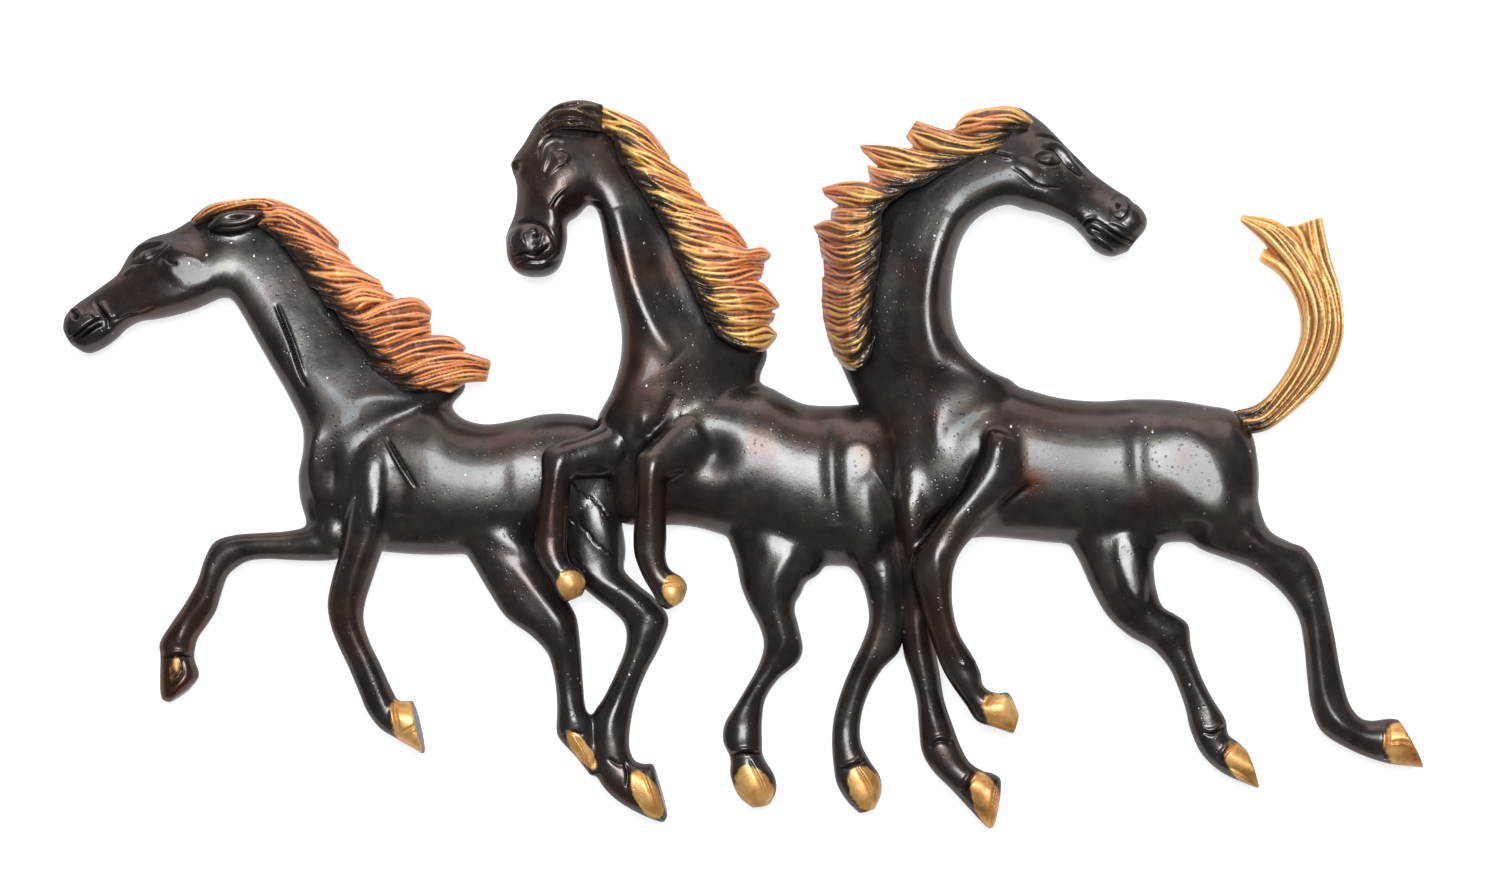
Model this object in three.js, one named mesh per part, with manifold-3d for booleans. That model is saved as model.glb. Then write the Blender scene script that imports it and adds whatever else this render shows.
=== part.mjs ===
// Wall relief of three galloping horses, cast in brass in hollow-backed sections that are
// brazed together. Millimetres: +X right, +Z up, and the wall is the plane y = 0, so the
// relief stands out towards -Y. The origin lies on the wall face of the middle horse's rib.
import * as THREE from "three";
import Module from "manifold-3d";

const wasm = await Module();
wasm.setup();

// Driving dimensions
const SHELL = 4; // wall of the hollow-backed bodies
const JOINT = 0.3; // gap left between two sections that are brazed together
const RIB = 5; // cast rib across the middle body
const BODY_SIDES = 20;
const HEAD_SIDES = 18;
const LEG_SIDES = 12;
const LOCK_SIDES = 8;
const STRAP = { width: 14, thick: 2.5, screwHead: 4.6, screwShank: 2.3, slot: 7 };

const PATINA = new THREE.MeshStandardMaterial({ color: 0x1c1512, roughness: 0.3, metalness: 0.7 });
const COPPER = new THREE.MeshStandardMaterial({ color: 0xa85a2c, roughness: 0.45, metalness: 0.8 });
const GOLD = new THREE.MeshStandardMaterial({ color: 0xb5823c, roughness: 0.4, metalness: 0.85 });
const BRASS = new THREE.MeshStandardMaterial({ color: 0x8c7440, roughness: 0.5, metalness: 0.9 });

// A sweep is a list of rungs. Each rung is one oval section, given by the two ends of its
// long axis in the plane of the wall, how far its middle stands off the wall, and half its
// thickness: [ax, az, bx, bz, stand, half]. A rung of seven numbers gives each end its own
// stand: [ax, az, aStand, bx, bz, bStand, half].
const tilted = (r) => (r.length === 7 ? r : [r[0], r[1], r[4], r[2], r[3], r[4], r[5]]);

// Left horse, stretched out at a gallop. The neck runs from the chest to the muzzle.
const left = {
  torso: [
    [-158, 8, -160, -26, 4, 12],
    [-146, 20, -148, -32, 3, 18],
    [-132, 25, -134, -34, 3, 21],
    [-116, 24, -120, -34.8, 3, 22],
    [-108, 17.2, -109, -34.6, 3, 21.5],
    [-99, 14.8, -99, -34, 3, 21],
    [-88, 16.2, -88, -33, 3, 20],
    [-77, 18.6, -78, -31, 2, 18.5],
    [-67, 18.8, -68, -29, 2, 17],
    [-57, 16.8, -58, -27, 2, 15],
    [-48, 10, -50, -22, 2, 11],
    [-44.5, 2, -46, -12, 2, 6],
  ],
  neck: [
    [-135, -26, -166.5, -24, 5, 12],
    [-128, -14, -169.3, -14, 5, 17],
    [-124, 0, -169.8, -5, 5, 19],
    [-117, 18, -167.8, 5, 5, 20],
    [-107, 30, -168.3, 14, 5, 19.5],
    [-122, 42, -173.5, 25.5, 5, 18.5],
    [-142, 57, -179.5, 36, 5, 17],
    [-151, 68, -185, 45.5, 5, 16],
    [-160, 80, -190, 54.5, 5, 15],
    [-170, 91, -194, 61, 5.5, 14],
    [-183, 99, -196.5, 63.5, 6, 13.5],
    [-197, 100, -199.5, 63.8, 7, 13.5],
    [-209, 94.5, -204, 62, 8, 13.5],
    [-219, 88.7, -211, 59, 9, 13.5],
    [-228, 85.8, -219, 56.7, 9, 13],
    [-234.5, 80.7, -226, 55.3, 9, 11.5],
    [-239.5, 72.5, -231.5, 54.5, 9, 10],
    [-244.5, 68.5, -236.5, 51.8, 9, 9],
    [-250, 64.5, -241, 47.5, 9, 9],
    [-255.5, 60.6, -246.5, 43.8, 9, 9.5],
    [-259.3, 56.5, -251.5, 42.3, 9, 8.5],
    [-260.2, 52.5, -256.5, 44.8, 9, 6],
  ],
  headSeam: 11,
  coreTo: 8,
  ear: [
    [-205.5, 91, -204.5, 88.5, 19, 2],
    [-201, 95.5, -199.5, 88.3, 20, 4],
    [-194, 97.4, -193, 88.8, 20, 4.5],
    [-187, 97.5, -186.5, 91.5, 19.5, 3.8],
    [-182.2, 97, -182.4, 95.4, 19, 1.5],
  ],
  mane: [
    [-212, 93.2, 10, -209.5, 90.5, 18, 4],
    [-206, 98.5, 9, -202, 94, 19, 5],
    [-196, 100.8, 9, -192, 93, 19, 6],
    [-184, 101.4, 9, -184, 88, 18.5, 6.5],
    [-173, 99.8, 9, -178, 83, 19, 6.5],
    [-162, 93.5, 9, -170, 75, 19.5, 7],
    [-153.5, 82, 9, -164, 66, 20.5, 7],
    [-145, 74, 9, -157, 58, 21.5, 7],
    [-136, 66.5, 9, -151, 50, 22.5, 7],
    [-127, 57, 9, -146, 42, 23, 7],
    [-118, 47, 9, -138, 35, 23.5, 7],
    [-109, 38, 9, -126, 29, 23.5, 6.5],
    [-103, 33.5, 10, -114, 26, 22, 5],
  ],
  locks: [
    [[-140, 67, -138, 49, 12, 7], [-128, 63.8, -126, 51, 10, 6.5], [-122, 62, -121.5, 52.5, 9.5, 5.5],
      [-119.4, 59, -120.5, 56, 9, 3]],
    [[-127, 53, -126, 41, 12, 7], [-114, 49.3, -113, 41, 10, 6], [-108.5, 47.4, -108, 43, 9.5, 4],
      [-106.8, 45.5, -107, 44, 9, 2]],
    [[-117, 44, -116, 30.5, 12, 7], [-104, 42, -104, 31.5, 10, 6], [-98, 40.6, -99, 31.5, 9.5, 5],
      [-96.9, 38.5, -98, 34, 9, 3]],
  ],
  legs: {
    near_foreleg: {
      seam: 4,
      rungs: [
        [-154, 12, -130, 14, 13, 8],
        [-152, 0, -131, 2, 16, 9.5],
        [-150.3, -10, -133.5, -10, 17.5, 9],
        [-151.3, -20, -136, -20, 18, 8.5],
        [-153.2, -31, -138.3, -31, 17, 8],
        [-157, -43, -142.2, -43, 16, 7.5],
        [-159, -54, -145.6, -54, 15, 7],
        [-157.8, -62, -146, -61, 14, 6.5],
        [-155, -69.5, -143.7, -68.5, 13.5, 6],
        [-151, -78, -139.8, -76.5, 13, 5.8],
        [-147, -87.5, -136, -85, 12.5, 5.8],
        [-143.8, -95, -134, -89, 12, 6.2],
        [-139, -101.2, -132.8, -91.4, 12, 6.2],
        [-133.3, -104.8, -131.2, -91.4, 12, 6.6],
        [-122.2, -111.3, -126.8, -91.2, 11.5, 7],
      ],
    },
    far_foreleg: {
      seam: 2,
      rungs: [
        [-156, -18, -152, -36, 8, 9],
        [-166, -24, -161, -37, 9, 8.5],
        [-175, -26.2, -172, -36.8, 9, 7],
        [-185, -26.9, -183, -36.3, 9, 6],
        [-195, -27.7, -190.5, -37.3, 8.5, 5.8],
        [-202.5, -30.3, -195.5, -40.3, 8, 6.2],
        [-206, -36.5, -198.3, -43.3, 8, 6],
        [-208.8, -45, -200.5, -49.5, 7.5, 5.6],
        [-213.5, -53.5, -202.7, -56.5, 7, 5.6],
        [-219, -61.5, -206.5, -62.5, 7, 5.6],
        [-223.2, -68.5, -209.8, -67.5, 7, 6.2],
        [-223, -73.8, -211, -73.8, 7, 6],
        [-222.6, -89.6, -209.3, -82, 7, 7],
        [-219.6, -91.4, -212.8, -86.6, 7, 5],
      ],
    },
    near_hindleg: {
      seam: 3.5,
      rungs: [
        [-108, -20, -84, -8, 7, 11],
        [-107, -32, -81, -26, 9, 11],
        [-102, -41, -76, -36.5, 10, 10.5],
        [-97, -49.5, -71.5, -46, 11, 9.5],
        [-90.5, -59, -67, -54, 11.5, 8.8],
        [-81, -66, -64.5, -59, 12, 7.8],
        [-75.3, -72, -63.5, -64.5, 12, 6.6],
        [-73, -78, -62.7, -73, 11, 5.6],
        [-71.5, -87, -62, -84, 10, 5.1],
        [-71.2, -95, -61, -93.5, 10, 5.3],
        [-71.4, -102.5, -58.5, -98.5, 10, 6],
        [-70, -105.8, -57.5, -104, 9.5, 5.8],
        [-64, -112.2, -56.8, -110.5, 9, 5.4],
        [-58.3, -119.5, -55.8, -118.5, 8.5, 4.4],
      ],
    },
    far_hindleg: {
      seam: 4,
      rungs: [
        [-68, -12, -47, -4, 6, 10],
        [-69, -24, -46.5, -20, 7, 9.5],
        [-68.5, -35, -49, -31, 8, 9],
        [-63.5, -45, -46.5, -40.5, 8, 8.5],
        [-56.5, -51.5, -40.5, -46.8, 8, 7.8],
        [-50, -56.5, -34.5, -51.8, 8, 7.2],
        [-45.3, -62, -29.3, -59.5, 8, 7],
        [-45, -70, -32, -69, 8, 6.4],
        [-48.7, -80, -37.7, -80, 8, 5.6],
        [-53.3, -89.5, -41.8, -90.5, 8, 5.4],
        [-57.6, -96.8, -43.8, -100, 8.5, 6],
        [-57, -107, -44.2, -108.5, 9, 6.4],
        [-56, -119.5, -42, -114, 9, 6.4],
        [-48.3, -128.8, -38, -115.3, 9, 6.8],
        [-31.5, -137, -34.4, -116.2, 9, 7.2],
        [-29.3, -134.5, -32.6, -122, 9, 5],
      ],
    },
  },
};

// Middle horse, rearing with both forelegs raised and its head turned towards the room.
const middle = {
  torso: [
    [-52, 10, -51.5, -15, 5, 9],
    [-46, 22, -47, -22.5, 5, 15],
    [-34, 30, -34, -23.4, 5, 19.5],
    [-20, 33, -20, -24, 4, 22],
    [-4, 32, -5, -28, 4, 22.5],
    [9, 29.3, 8, -31, 4, 22.5],
    [22, 22.9, 21, -36, 4, 22.5],
    [34, 21.8, 34, -39, 4, 22.5],
    [45, 22.3, 43, -38.5, 4, 21.5],
    [54, 20, 54, -36, 4, 17],
    [62, 10, 62, -24, 4, 10],
  ],
  neck: [
    [-14, -8, -46, -6, 5, 11],
    [-4, 4, -53, 6, 5, 17.5],
    [5, 18, -55.8, 16.5, 5, 21],
    [5.6, 32, -50.3, 27.5, 6, 22],
    [8.6, 42.5, -47, 39, 7, 21],
    [3, 54, -46.6, 51, 8, 19.5],
    [-5, 67, -48.8, 62, 9, 18.5],
    [-12, 79, -51, 72, 10, 17],
    [-19, 91, -52.8, 82.5, 11, 16],
    [-27, 104, -54.3, 91.5, 12, 15],
    [-36, 117, -56, 97, 13, 14.5],
    [-45, 129, -58.5, 99.8, 14, 14.5],
    [-56, 136, -61, 99.5, 15, 15],
    [-68, 138, -63.5, 98.3, 16, 15.5],
    [-77.5, 132.5, -66, 96.8, 17, 15.5],
    [-84, 122.5, -67.8, 95, 18, 14.5],
    [-88.8, 114.5, -68.4, 93.3, 19, 13.5],
    [-86.8, 106, -68.3, 91.5, 20, 12.5],
    [-87.5, 96, -68, 88.5, 20, 12.5],
    [-91, 86, -68.1, 84.5, 20.5, 13],
    [-89.5, 79, -69.7, 78.5, 20.5, 12],
    [-83.5, 73.8, -74.5, 73.6, 20.5, 7],
  ],
  headSeam: 12,
  coreTo: 7,
  mane: [
    [-77, 134, 22, -75, 129.5, 30, 4],
    [-70, 138.3, 16, -68, 130, 30, 6],
    [-60, 138.3, 15, -60, 127.5, 28, 7],
    [-50, 135, 14, -53, 125, 26, 7],
    [-42, 131.8, 14, -49, 119, 25.5, 7],
    [-35.5, 125, 14, -44, 112, 25.5, 7],
    [-28, 116, 13, -38, 103.5, 25.5, 7],
    [-20, 107.5, 13, -31.5, 95, 25.5, 7],
    [-11.5, 98, 12, -27.5, 85, 25.5, 7.5],
    [-4.5, 90, 12, -25, 76, 26, 7.5],
    [1.5, 80, 11, -20, 67, 26, 7.5],
    [4.5, 69.5, 11, -16, 59, 27, 7.5],
    [7, 58, 11, -10.5, 51.5, 27, 7.5],
    [7.5, 49, 11, -4, 46, 26, 6.5],
    [6.5, 45, 12, 1, 44, 22, 5],
  ],
  locks: [
    [[-4, 86, -6, 70, 14, 8], [4, 82.3, 3, 70, 11, 7], [8.3, 82.6, 6.5, 72, 10, 6], [10.7, 79.7, 9, 76, 9.5, 3.5]],
    [[-2, 70, -2, 56, 14, 8], [7, 67.8, 7, 56.3, 11, 7], [11.5, 63.3, 11.5, 57, 10, 5], [13.7, 60.6, 13, 59, 9.5, 2.5]],
    [[0, 54, 1, 44.5, 14, 7], [8, 52.5, 8, 44.3, 11, 6], [11.5, 51, 11, 46, 10, 4.5], [12.9, 49, 12.3, 47.5, 9.5, 2.5]],
  ],
  legs: {
    far_foreleg: {
      seam: 2.5,
      rungs: [
        [-48, 17, -44, -4, 14, 9],
        [-56, 13, -54, -5, 18, 9],
        [-64, 9.8, -61, -5.5, 21.5, 8],
        [-71, 7.8, -65, -5.5, 24, 7],
        [-76.6, 4, -66.5, -6.5, 25, 6.5],
        [-77.2, -6, -67, -12, 25, 6],
        [-78.3, -16, -67.8, -19, 24.5, 5.8],
        [-79.7, -25.5, -68, -27, 24, 6],
        [-79.8, -32.5, -68, -34, 24, 6.2],
        [-77, -39.5, -66.3, -38.5, 24, 6.2],
        [-74, -43.8, -63.2, -40.8, 24, 6.5],
        [-71.6, -49.3, -60.6, -45.6, 24, 6.6],
        [-68.6, -53.2, -62.3, -50.8, 24, 5],
      ],
    },
    near_foreleg: {
      seam: 2.5,
      rungs: [
        [-22, 21, -8, -1, 16, 12],
        [-30, 14, -20, -4, 21.5, 9.5],
        [-36, 7.5, -27, -5, 26, 8],
        [-40.4, 2.5, -30, -6, 28, 7],
        [-41, -9, -30.4, -11, 28, 6.2],
        [-41.3, -19, -30.2, -20, 27, 6],
        [-42, -28.5, -30, -29, 26, 6.2],
        [-41.3, -36, -30.3, -36, 25.5, 6.2],
        [-38, -44, -28.5, -40.8, 25, 6.2],
        [-35, -49, -24, -43.8, 25, 6.6],
        [-32.3, -53.8, -22, -47.6, 25, 6.8],
        [-29, -56, -23.8, -53.2, 25, 5],
      ],
    },
    near_hindleg: {
      seam: 3,
      rungs: [
        [-6, -18, 34, -16, 6, 13],
        [-5.5, -29, 32, -33, 8, 13],
        [-2.8, -37, 29, -41.6, 9, 12],
        [-0.8, -47, 21.3, -47.2, 10, 10.5],
        [2.5, -55, 19, -55, 10, 9],
        [6.3, -62.5, 20.5, -62, 10, 8],
        [7.9, -70, 22.2, -71, 10, 7.2],
        [6, -77, 20, -76.5, 10, 6.2],
        [2, -84.5, 13, -82.5, 10, 5.5],
        [-2.5, -92, 8, -90, 10, 5.4],
        [-7, -99.5, 6.6, -98, 10, 6],
        [-7.6, -106.5, 6.6, -106.5, 10, 6.6],
        [-5, -112.5, 7, -112, 10, 6.2],
        [-4.8, -120, 11.3, -119.5, 10, 7],
        [-1.5, -127.5, 12, -125.5, 10, 6.6],
        [3.5, -131.7, 9.5, -130.7, 10, 4.5],
      ],
    },
    far_hindleg: {
      seam: 2.5,
      rungs: [
        [34, -22, 60, -14, 6, 12],
        [38, -36, 61, -30, 8, 12],
        [44.5, -44, 61.5, -42, 9.5, 10.5],
        [47.6, -53.5, 61.5, -53, 10, 8.5],
        [48, -61, 61.5, -62, 10, 7.5],
        [45.2, -69.5, 59, -72, 10, 6.6],
        [41, -78.5, 52.5, -79, 10, 5.6],
        [37.3, -88, 47.3, -88, 10, 5],
        [34.7, -97.5, 44.5, -97.5, 10, 5],
        [34, -106.5, 44.4, -106.5, 10, 5.6],
        [34.6, -115.5, 47.5, -113.3, 10, 6.2],
        [36, -123, 51.8, -120, 10, 6.8],
        [40, -129.5, 52.2, -126.5, 10, 6.6],
        [44.5, -133.8, 49.8, -132.3, 10, 4.5],
      ],
    },
  },
};

// Right horse, looking back over its rump, with its tail raised.
const right = {
  torso: [
    [52, 6, 56, -22, 5, 11],
    [60, 20, 63, -30, 5, 16.5],
    [75, 28, 78, -30, 5, 20],
    [92, 32, 92, -28, 5, 22],
    [106, 28.8, 106, -29, 5, 22],
    [120, 25, 120, -30.3, 5, 22],
    [135, 23.6, 135, -31, 5, 22],
    [150, 24.4, 150, -31, 5, 22.5],
    [164, 24, 163, -30, 5, 22.5],
    [177, 22, 174, -30, 5, 22],
    [187, 19.8, 184, -30, 5, 19.5],
    [193.5, 12, 193, -24, 5, 15],
    [196, 2, 196, -14, 5, 8],
  ],
  neck: [
    [54, -8, 95, -6, 4, 15],
    [49.5, 7, 101, 12, 4, 20],
    [44.3, 22, 104, 29.8, 4, 22],
    [40, 31.5, 94, 35.3, 5, 22.5],
    [36, 42, 85, 43, 6, 21.5],
    [34.5, 55, 80.2, 53, 7, 20.5],
    [35.5, 68, 79.2, 63, 8, 20],
    [39, 81, 79.8, 72.5, 9, 19.5],
    [45, 95, 81.5, 81, 10, 18.5],
    [54, 108, 84.2, 87.8, 11, 17],
    [66, 119, 88.3, 93.2, 12, 16],
    [79, 127.5, 93, 96.6, 13, 15.5],
    [92, 133.5, 98, 98.8, 13.5, 15],
    [104, 136.3, 103, 99.3, 14, 15],
    [113, 131.3, 108.5, 97.8, 14, 15],
    [120, 124.7, 114.5, 96, 14, 14.5],
    [127, 117.6, 120.5, 93.8, 13.5, 13],
    [134, 110.6, 125.5, 91.3, 13, 11.5],
    [141, 105.4, 130, 87, 13, 11],
    [147, 101.4, 134.5, 81.7, 13, 11.5],
    [151, 95.5, 140.5, 79.4, 13, 10.5],
    [152.7, 89, 147, 81.2, 13, 6.5],
  ],
  headSeam: 12,
  coreTo: 8,
  mane: [
    [107.5, 135.7, 18, 107, 130, 27, 5],
    [99, 136, 15, 101, 126, 27, 6],
    [90, 135, 14, 92, 122.5, 26, 7],
    [81, 130, 13, 84, 119, 26, 7],
    [72, 127.8, 12, 77, 113.5, 26.5, 7.5],
    [62, 121.5, 12, 69, 108.5, 27, 7.5],
    [52, 116, 11, 61, 102.5, 28, 7.5],
    [45, 106, 10, 55, 97, 28, 8],
    [37, 97.5, 10, 52.5, 90, 28, 8],
    [28.8, 86.5, 9, 51, 82, 28, 8],
    [29.8, 76.5, 9, 48.5, 73, 27, 8],
    [28.8, 67, 9, 46.5, 65, 26, 8],
    [29.8, 57.5, 9, 46, 57, 26, 8],
    [32.3, 48, 9, 47.5, 49, 26, 7.5],
    [36.3, 40, 9, 46.5, 42, 25, 6.5],
    [39, 37, 12, 43, 37.5, 22, 5],
  ],
  locks: [
    [[79, 129, 77, 117, 16, 8], [70, 129.3, 68, 119, 13, 7], [65.8, 131, 63, 121.5, 11, 6], [63, 128.5, 62, 124.5, 10, 3.5]],
    [[66, 121, 62, 107, 16, 8], [56, 121.6, 53, 110, 13, 7], [49, 121.7, 48.5, 114.5, 11, 5.5], [44, 122, 45, 118.8, 10, 2.5]],
    [[52, 109, 50, 96, 16, 8], [43, 107.3, 40, 97.3, 13, 7], [35, 106.7, 34, 99.5, 11, 5.5], [29.4, 105.5, 30.5, 103, 10, 2.5]],
    [[42, 97, 40, 82, 16, 8], [35, 93.8, 33, 82, 12, 7], [30.5, 92.2, 30, 84, 10, 5.5], [26.6, 91, 27.3, 88.8, 9.5, 2.5]],
  ],
  legs: {
    far_foreleg: {
      seam: 3,
      rungs: [
        [56, -4, 76, -2, 12, 11],
        [57, -16, 74, -14, 14, 10],
        [59, -28, 72.5, -27, 14, 8.5],
        [60.7, -40, 71, -38, 13, 7.5],
        [61, -50, 71, -48, 12, 7],
        [60.5, -61, 71.5, -59, 11.5, 6.8],
        [61.5, -73, 73, -71, 11, 6.4],
        [64.3, -82, 74.7, -80.5, 11, 6],
        [66.5, -91, 76.2, -90, 11, 5.6],
        [67.3, -101, 79.5, -100, 11, 6],
        [68.5, -110.5, 82.5, -108, 11, 6.6],
        [72.5, -117.5, 86, -114.3, 11, 6.4],
        [79.8, -124.8, 91.5, -118, 11, 6.6],
        [85.8, -131.3, 94.5, -118.8, 11, 7],
        [94, -139.5, 98.3, -121.6, 11, 7.2],
        [96, -138, 98.2, -127, 11, 5],
      ],
    },
    near_foreleg: {
      seam: 3.5,
      rungs: [
        [92, 13, 111, 5, 19, 10],
        [89.5, -1, 109.5, -8, 21, 10.5],
        [83.5, -11.5, 102.5, -15.5, 22.5, 9.5],
        [76.5, -20.5, 92.5, -23.5, 23.5, 8.5],
        [69.5, -30, 83.2, -33, 24, 7.5],
        [65, -37, 80, -40.5, 24, 7.5],
        [65.4, -45, 79.3, -48, 23.5, 6.8],
        [68, -55, 79.7, -56, 23, 6.3],
        [71.5, -66, 82, -65, 22, 6],
        [76, -78, 87, -73.5, 21, 6],
        [80, -85, 90.2, -80, 20.5, 6.4],
        [85, -92, 91.5, -85.5, 20, 5.8],
        [89.5, -98.5, 96.5, -88.3, 19.5, 6.2],
        [95.8, -100.7, 101.2, -88.2, 19, 6.8],
        [103.3, -103.3, 105.3, -96.5, 19, 5],
      ],
    },
    far_hindleg: {
      seam: 2.5,
      rungs: [
        [124, -14, 162, -12, 6, 13],
        [124.5, -29, 160, -30, 8, 12.5],
        [129, -38, 156.5, -38, 9, 11.5],
        [134, -49, 157.5, -48, 10, 10.5],
        [139.5, -58.3, 160, -54.8, 10, 9],
        [147.5, -65.7, 165, -58, 10, 8],
        [156.5, -70.7, 169.8, -62, 10, 7.2],
        [162.7, -77.5, 171, -70.5, 10, 6],
        [166.3, -85, 174.7, -81.5, 10, 5.2],
        [169.3, -93.5, 179, -90, 10, 5.4],
        [171.3, -102, 184, -98, 10, 6.3],
        [175.5, -111, 185, -103.8, 10, 6],
        [183, -118, 188.5, -106.5, 10, 6.4],
        [197.3, -124.4, 192.5, -109.8, 10, 6.6],
      ],
    },
    near_hindleg: {
      seam: 3,
      rungs: [
        [166, -24, 194, 2, 8, 15],
        [174, -32, 196.5, -14, 11, 13.5],
        [184, -36, 200.5, -25.3, 12.5, 11.5],
        [193.5, -39.5, 208, -30, 13, 9.5],
        [202, -45.3, 214.8, -33, 13, 8.2],
        [208.5, -52, 219.8, -41, 13, 7.6],
        [213, -60, 223, -53.5, 12.5, 6.6],
        [215, -71, 225.7, -66, 12, 6],
        [216, -82, 228, -79, 11.5, 5.8],
        [217.8, -94, 231.5, -92, 11, 6.2],
        [221.5, -102.5, 235.5, -97.3, 11, 6.8],
        [230.5, -108.5, 240, -98.7, 11, 6.2],
        [245, -114.2, 247, -98, 11, 6.8],
        [260, -116.2, 250.8, -98.4, 11, 7.4],
      ],
    },
  },
  tail: [
    [[188, 19.5, 192, 10, 10, 5.5], [194, 21.8, 199, 12.3, 10, 6], [200.5, 26, 206, 15.5, 10, 6.3],
      [206.5, 34.5, 216, 25.5, 10.5, 6.8], [210.5, 43, 224.3, 38.5, 11, 7.5], [212, 52, 229, 52.5, 11, 8],
      [211.5, 60, 229.5, 62, 11, 8], [208, 67.5, 228, 71.5, 11, 7.8], [206, 74, 224.8, 81, 11, 7]],
    [[212, 72, 223, 78, 12, 7], [205, 80, 216, 86, 12, 6.5], [198.5, 85.3, 205, 92.8, 11, 5.5],
      [193.5, 89, 197, 95, 10, 4.5], [189.4, 92.8, 190.5, 94.3, 9, 2]],
    [[209, 66, 216, 74, 12, 6.5], [203, 72.5, 207, 80, 11.5, 6], [198.5, 75.7, 200.5, 82.5, 10.5, 4.5],
      [197, 78, 197.8, 80.5, 10, 2.5]],
    [[214, 76, 226, 76, 11, 6.5], [212.5, 86, 223.7, 85.5, 11, 5.5], [214, 92.3, 222, 92, 10, 4],
      [218.5, 94.5, 221.2, 94.3, 9.5, 2.5]],
  ],
};

// The section at place t along a sweep, t counting rungs: both ends of its long axis, and half its thickness.
function sectionMaker(sweep) {
  const rungs = sweep.map(tilted);
  const railA = new THREE.CatmullRomCurve3(rungs.map((r) => new THREE.Vector3(r[0], -r[2], r[1])));
  const railB = new THREE.CatmullRomCurve3(rungs.map((r) => new THREE.Vector3(r[3], -r[5], r[4])));
  const last = rungs.length - 1;
  return (t) => {
    const i = Math.min(Math.floor(t), last - 1);
    const half = THREE.MathUtils.lerp(rungs[i][6], rungs[i + 1][6], t - i);
    return { a: railA.getPoint(t / last), b: railB.getPoint(t / last), half };
  };
}

// A closed solid through the sections of a sweep from rung `from` to rung `to`, thickened all round by `grow`.
function sweepSolid(sweep, { sides, from = 0, to = sweep.length - 1, grow = 0, perRung = 1 }) {
  const at = sectionMaker(sweep);
  const steps = Math.max(2, Math.round((to - from) * perRung));
  const position = [];
  const index = [];
  for (let i = 0; i <= steps; i++) {
    const { a, b, half } = at(from + ((to - from) * i) / steps);
    const middlePoint = a.clone().add(b).multiplyScalar(0.5);
    const across = b.clone().sub(a).multiplyScalar(0.5);
    const reach = across.length();
    across.multiplyScalar(Math.max(reach + grow, 0.5) / reach);
    const thick = Math.max(half + grow, 0.5);
    for (let k = 0; k < sides; k++) {
      const angle = (2 * Math.PI * k) / sides;
      const p = middlePoint.clone().addScaledVector(across, Math.cos(angle));
      p.y -= thick * Math.sin(angle);
      position.push(p.x, p.y, p.z);
    }
  }
  const capStart = position.length / 3;
  for (const t of [from, to]) {
    const { a, b } = at(t);
    position.push((a.x + b.x) / 2, (a.y + b.y) / 2, (a.z + b.z) / 2);
  }
  for (let i = 0; i < steps; i++) {
    for (let k = 0; k < sides; k++) {
      const next = (k + 1) % sides;
      const [p, q, r, s] = [i * sides + k, i * sides + next, (i + 1) * sides + next, (i + 1) * sides + k];
      index.push(p, q, r, p, r, s);
    }
  }
  for (let k = 0; k < sides; k++) {
    const next = (k + 1) % sides;
    index.push(capStart, next, k);
    index.push(capStart + 1, steps * sides + k, steps * sides + next);
  }
  const solid = toSolid(position, index);
  return solid.volume() < 0 ? toSolid(position, index.reverse()) : solid;
}

function toSolid(position, index) {
  const mesh = new wasm.Mesh({
    numProp: 3,
    vertProperties: new Float32Array(position),
    triVerts: new Uint32Array(index),
  });
  return new wasm.Manifold(mesh);
}

function geometrySolid(geometry) {
  const plain = geometry.index ? geometry.toNonIndexed() : geometry;
  const seen = new Map();
  const position = [];
  const index = [];
  const points = plain.getAttribute("position");
  for (let i = 0; i < points.count; i++) {
    const xyz = [points.getX(i), points.getY(i), points.getZ(i)];
    const key = xyz.map((v) => v.toFixed(3)).join();
    if (!seen.has(key)) {
      seen.set(key, seen.size);
      position.push(...xyz);
    }
    index.push(seen.get(key));
  }
  return toSolid(position, index);
}

// Everything behind the wall plane, which flattens each section's back.
const WALL = geometrySolid(new THREE.BoxGeometry(700, 80, 500).translate(0, 40, 0));

function meshOf(name, solid, material) {
  const made = solid.getMesh();
  const step = made.numProp;
  const points = new Float32Array(made.numVert * 3);
  for (let i = 0; i < made.numVert; i++) {
    points.set(made.vertProperties.subarray(i * step, i * step + 3), i * 3);
  }
  const geometry = new THREE.BufferGeometry();
  geometry.setAttribute("position", new THREE.BufferAttribute(points, 3));
  geometry.setIndex(new THREE.BufferAttribute(new Uint32Array(made.triVerts), 1));
  geometry.computeVertexNormals();
  const mesh = new THREE.Mesh(geometry, material);
  mesh.name = name;
  return mesh;
}

const unite = (solids) => solids.reduce((sum, s) => sum.add(s));

// The trunk and neck of a horse, with the roots of its legs, as one solid without its hollow.
function trunk(horse, grow = 0) {
  const shapes = [
    sweepSolid(horse.torso, { sides: BODY_SIDES, grow }),
    sweepSolid(horse.neck, { sides: BODY_SIDES, to: horse.headSeam, grow }),
  ];
  for (const leg of Object.values(horse.legs)) {
    shapes.push(sweepSolid(leg.rungs, { sides: LEG_SIDES, to: leg.seam, grow }));
  }
  return unite(shapes);
}

function hollow(horse, shell = SHELL) {
  return unite([
    sweepSolid(horse.torso, { sides: BODY_SIDES, from: 1, to: horse.torso.length - 2, grow: -shell }),
    sweepSolid(horse.neck, { sides: BODY_SIDES, to: horse.coreTo, grow: -shell }),
  ]);
}

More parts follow.
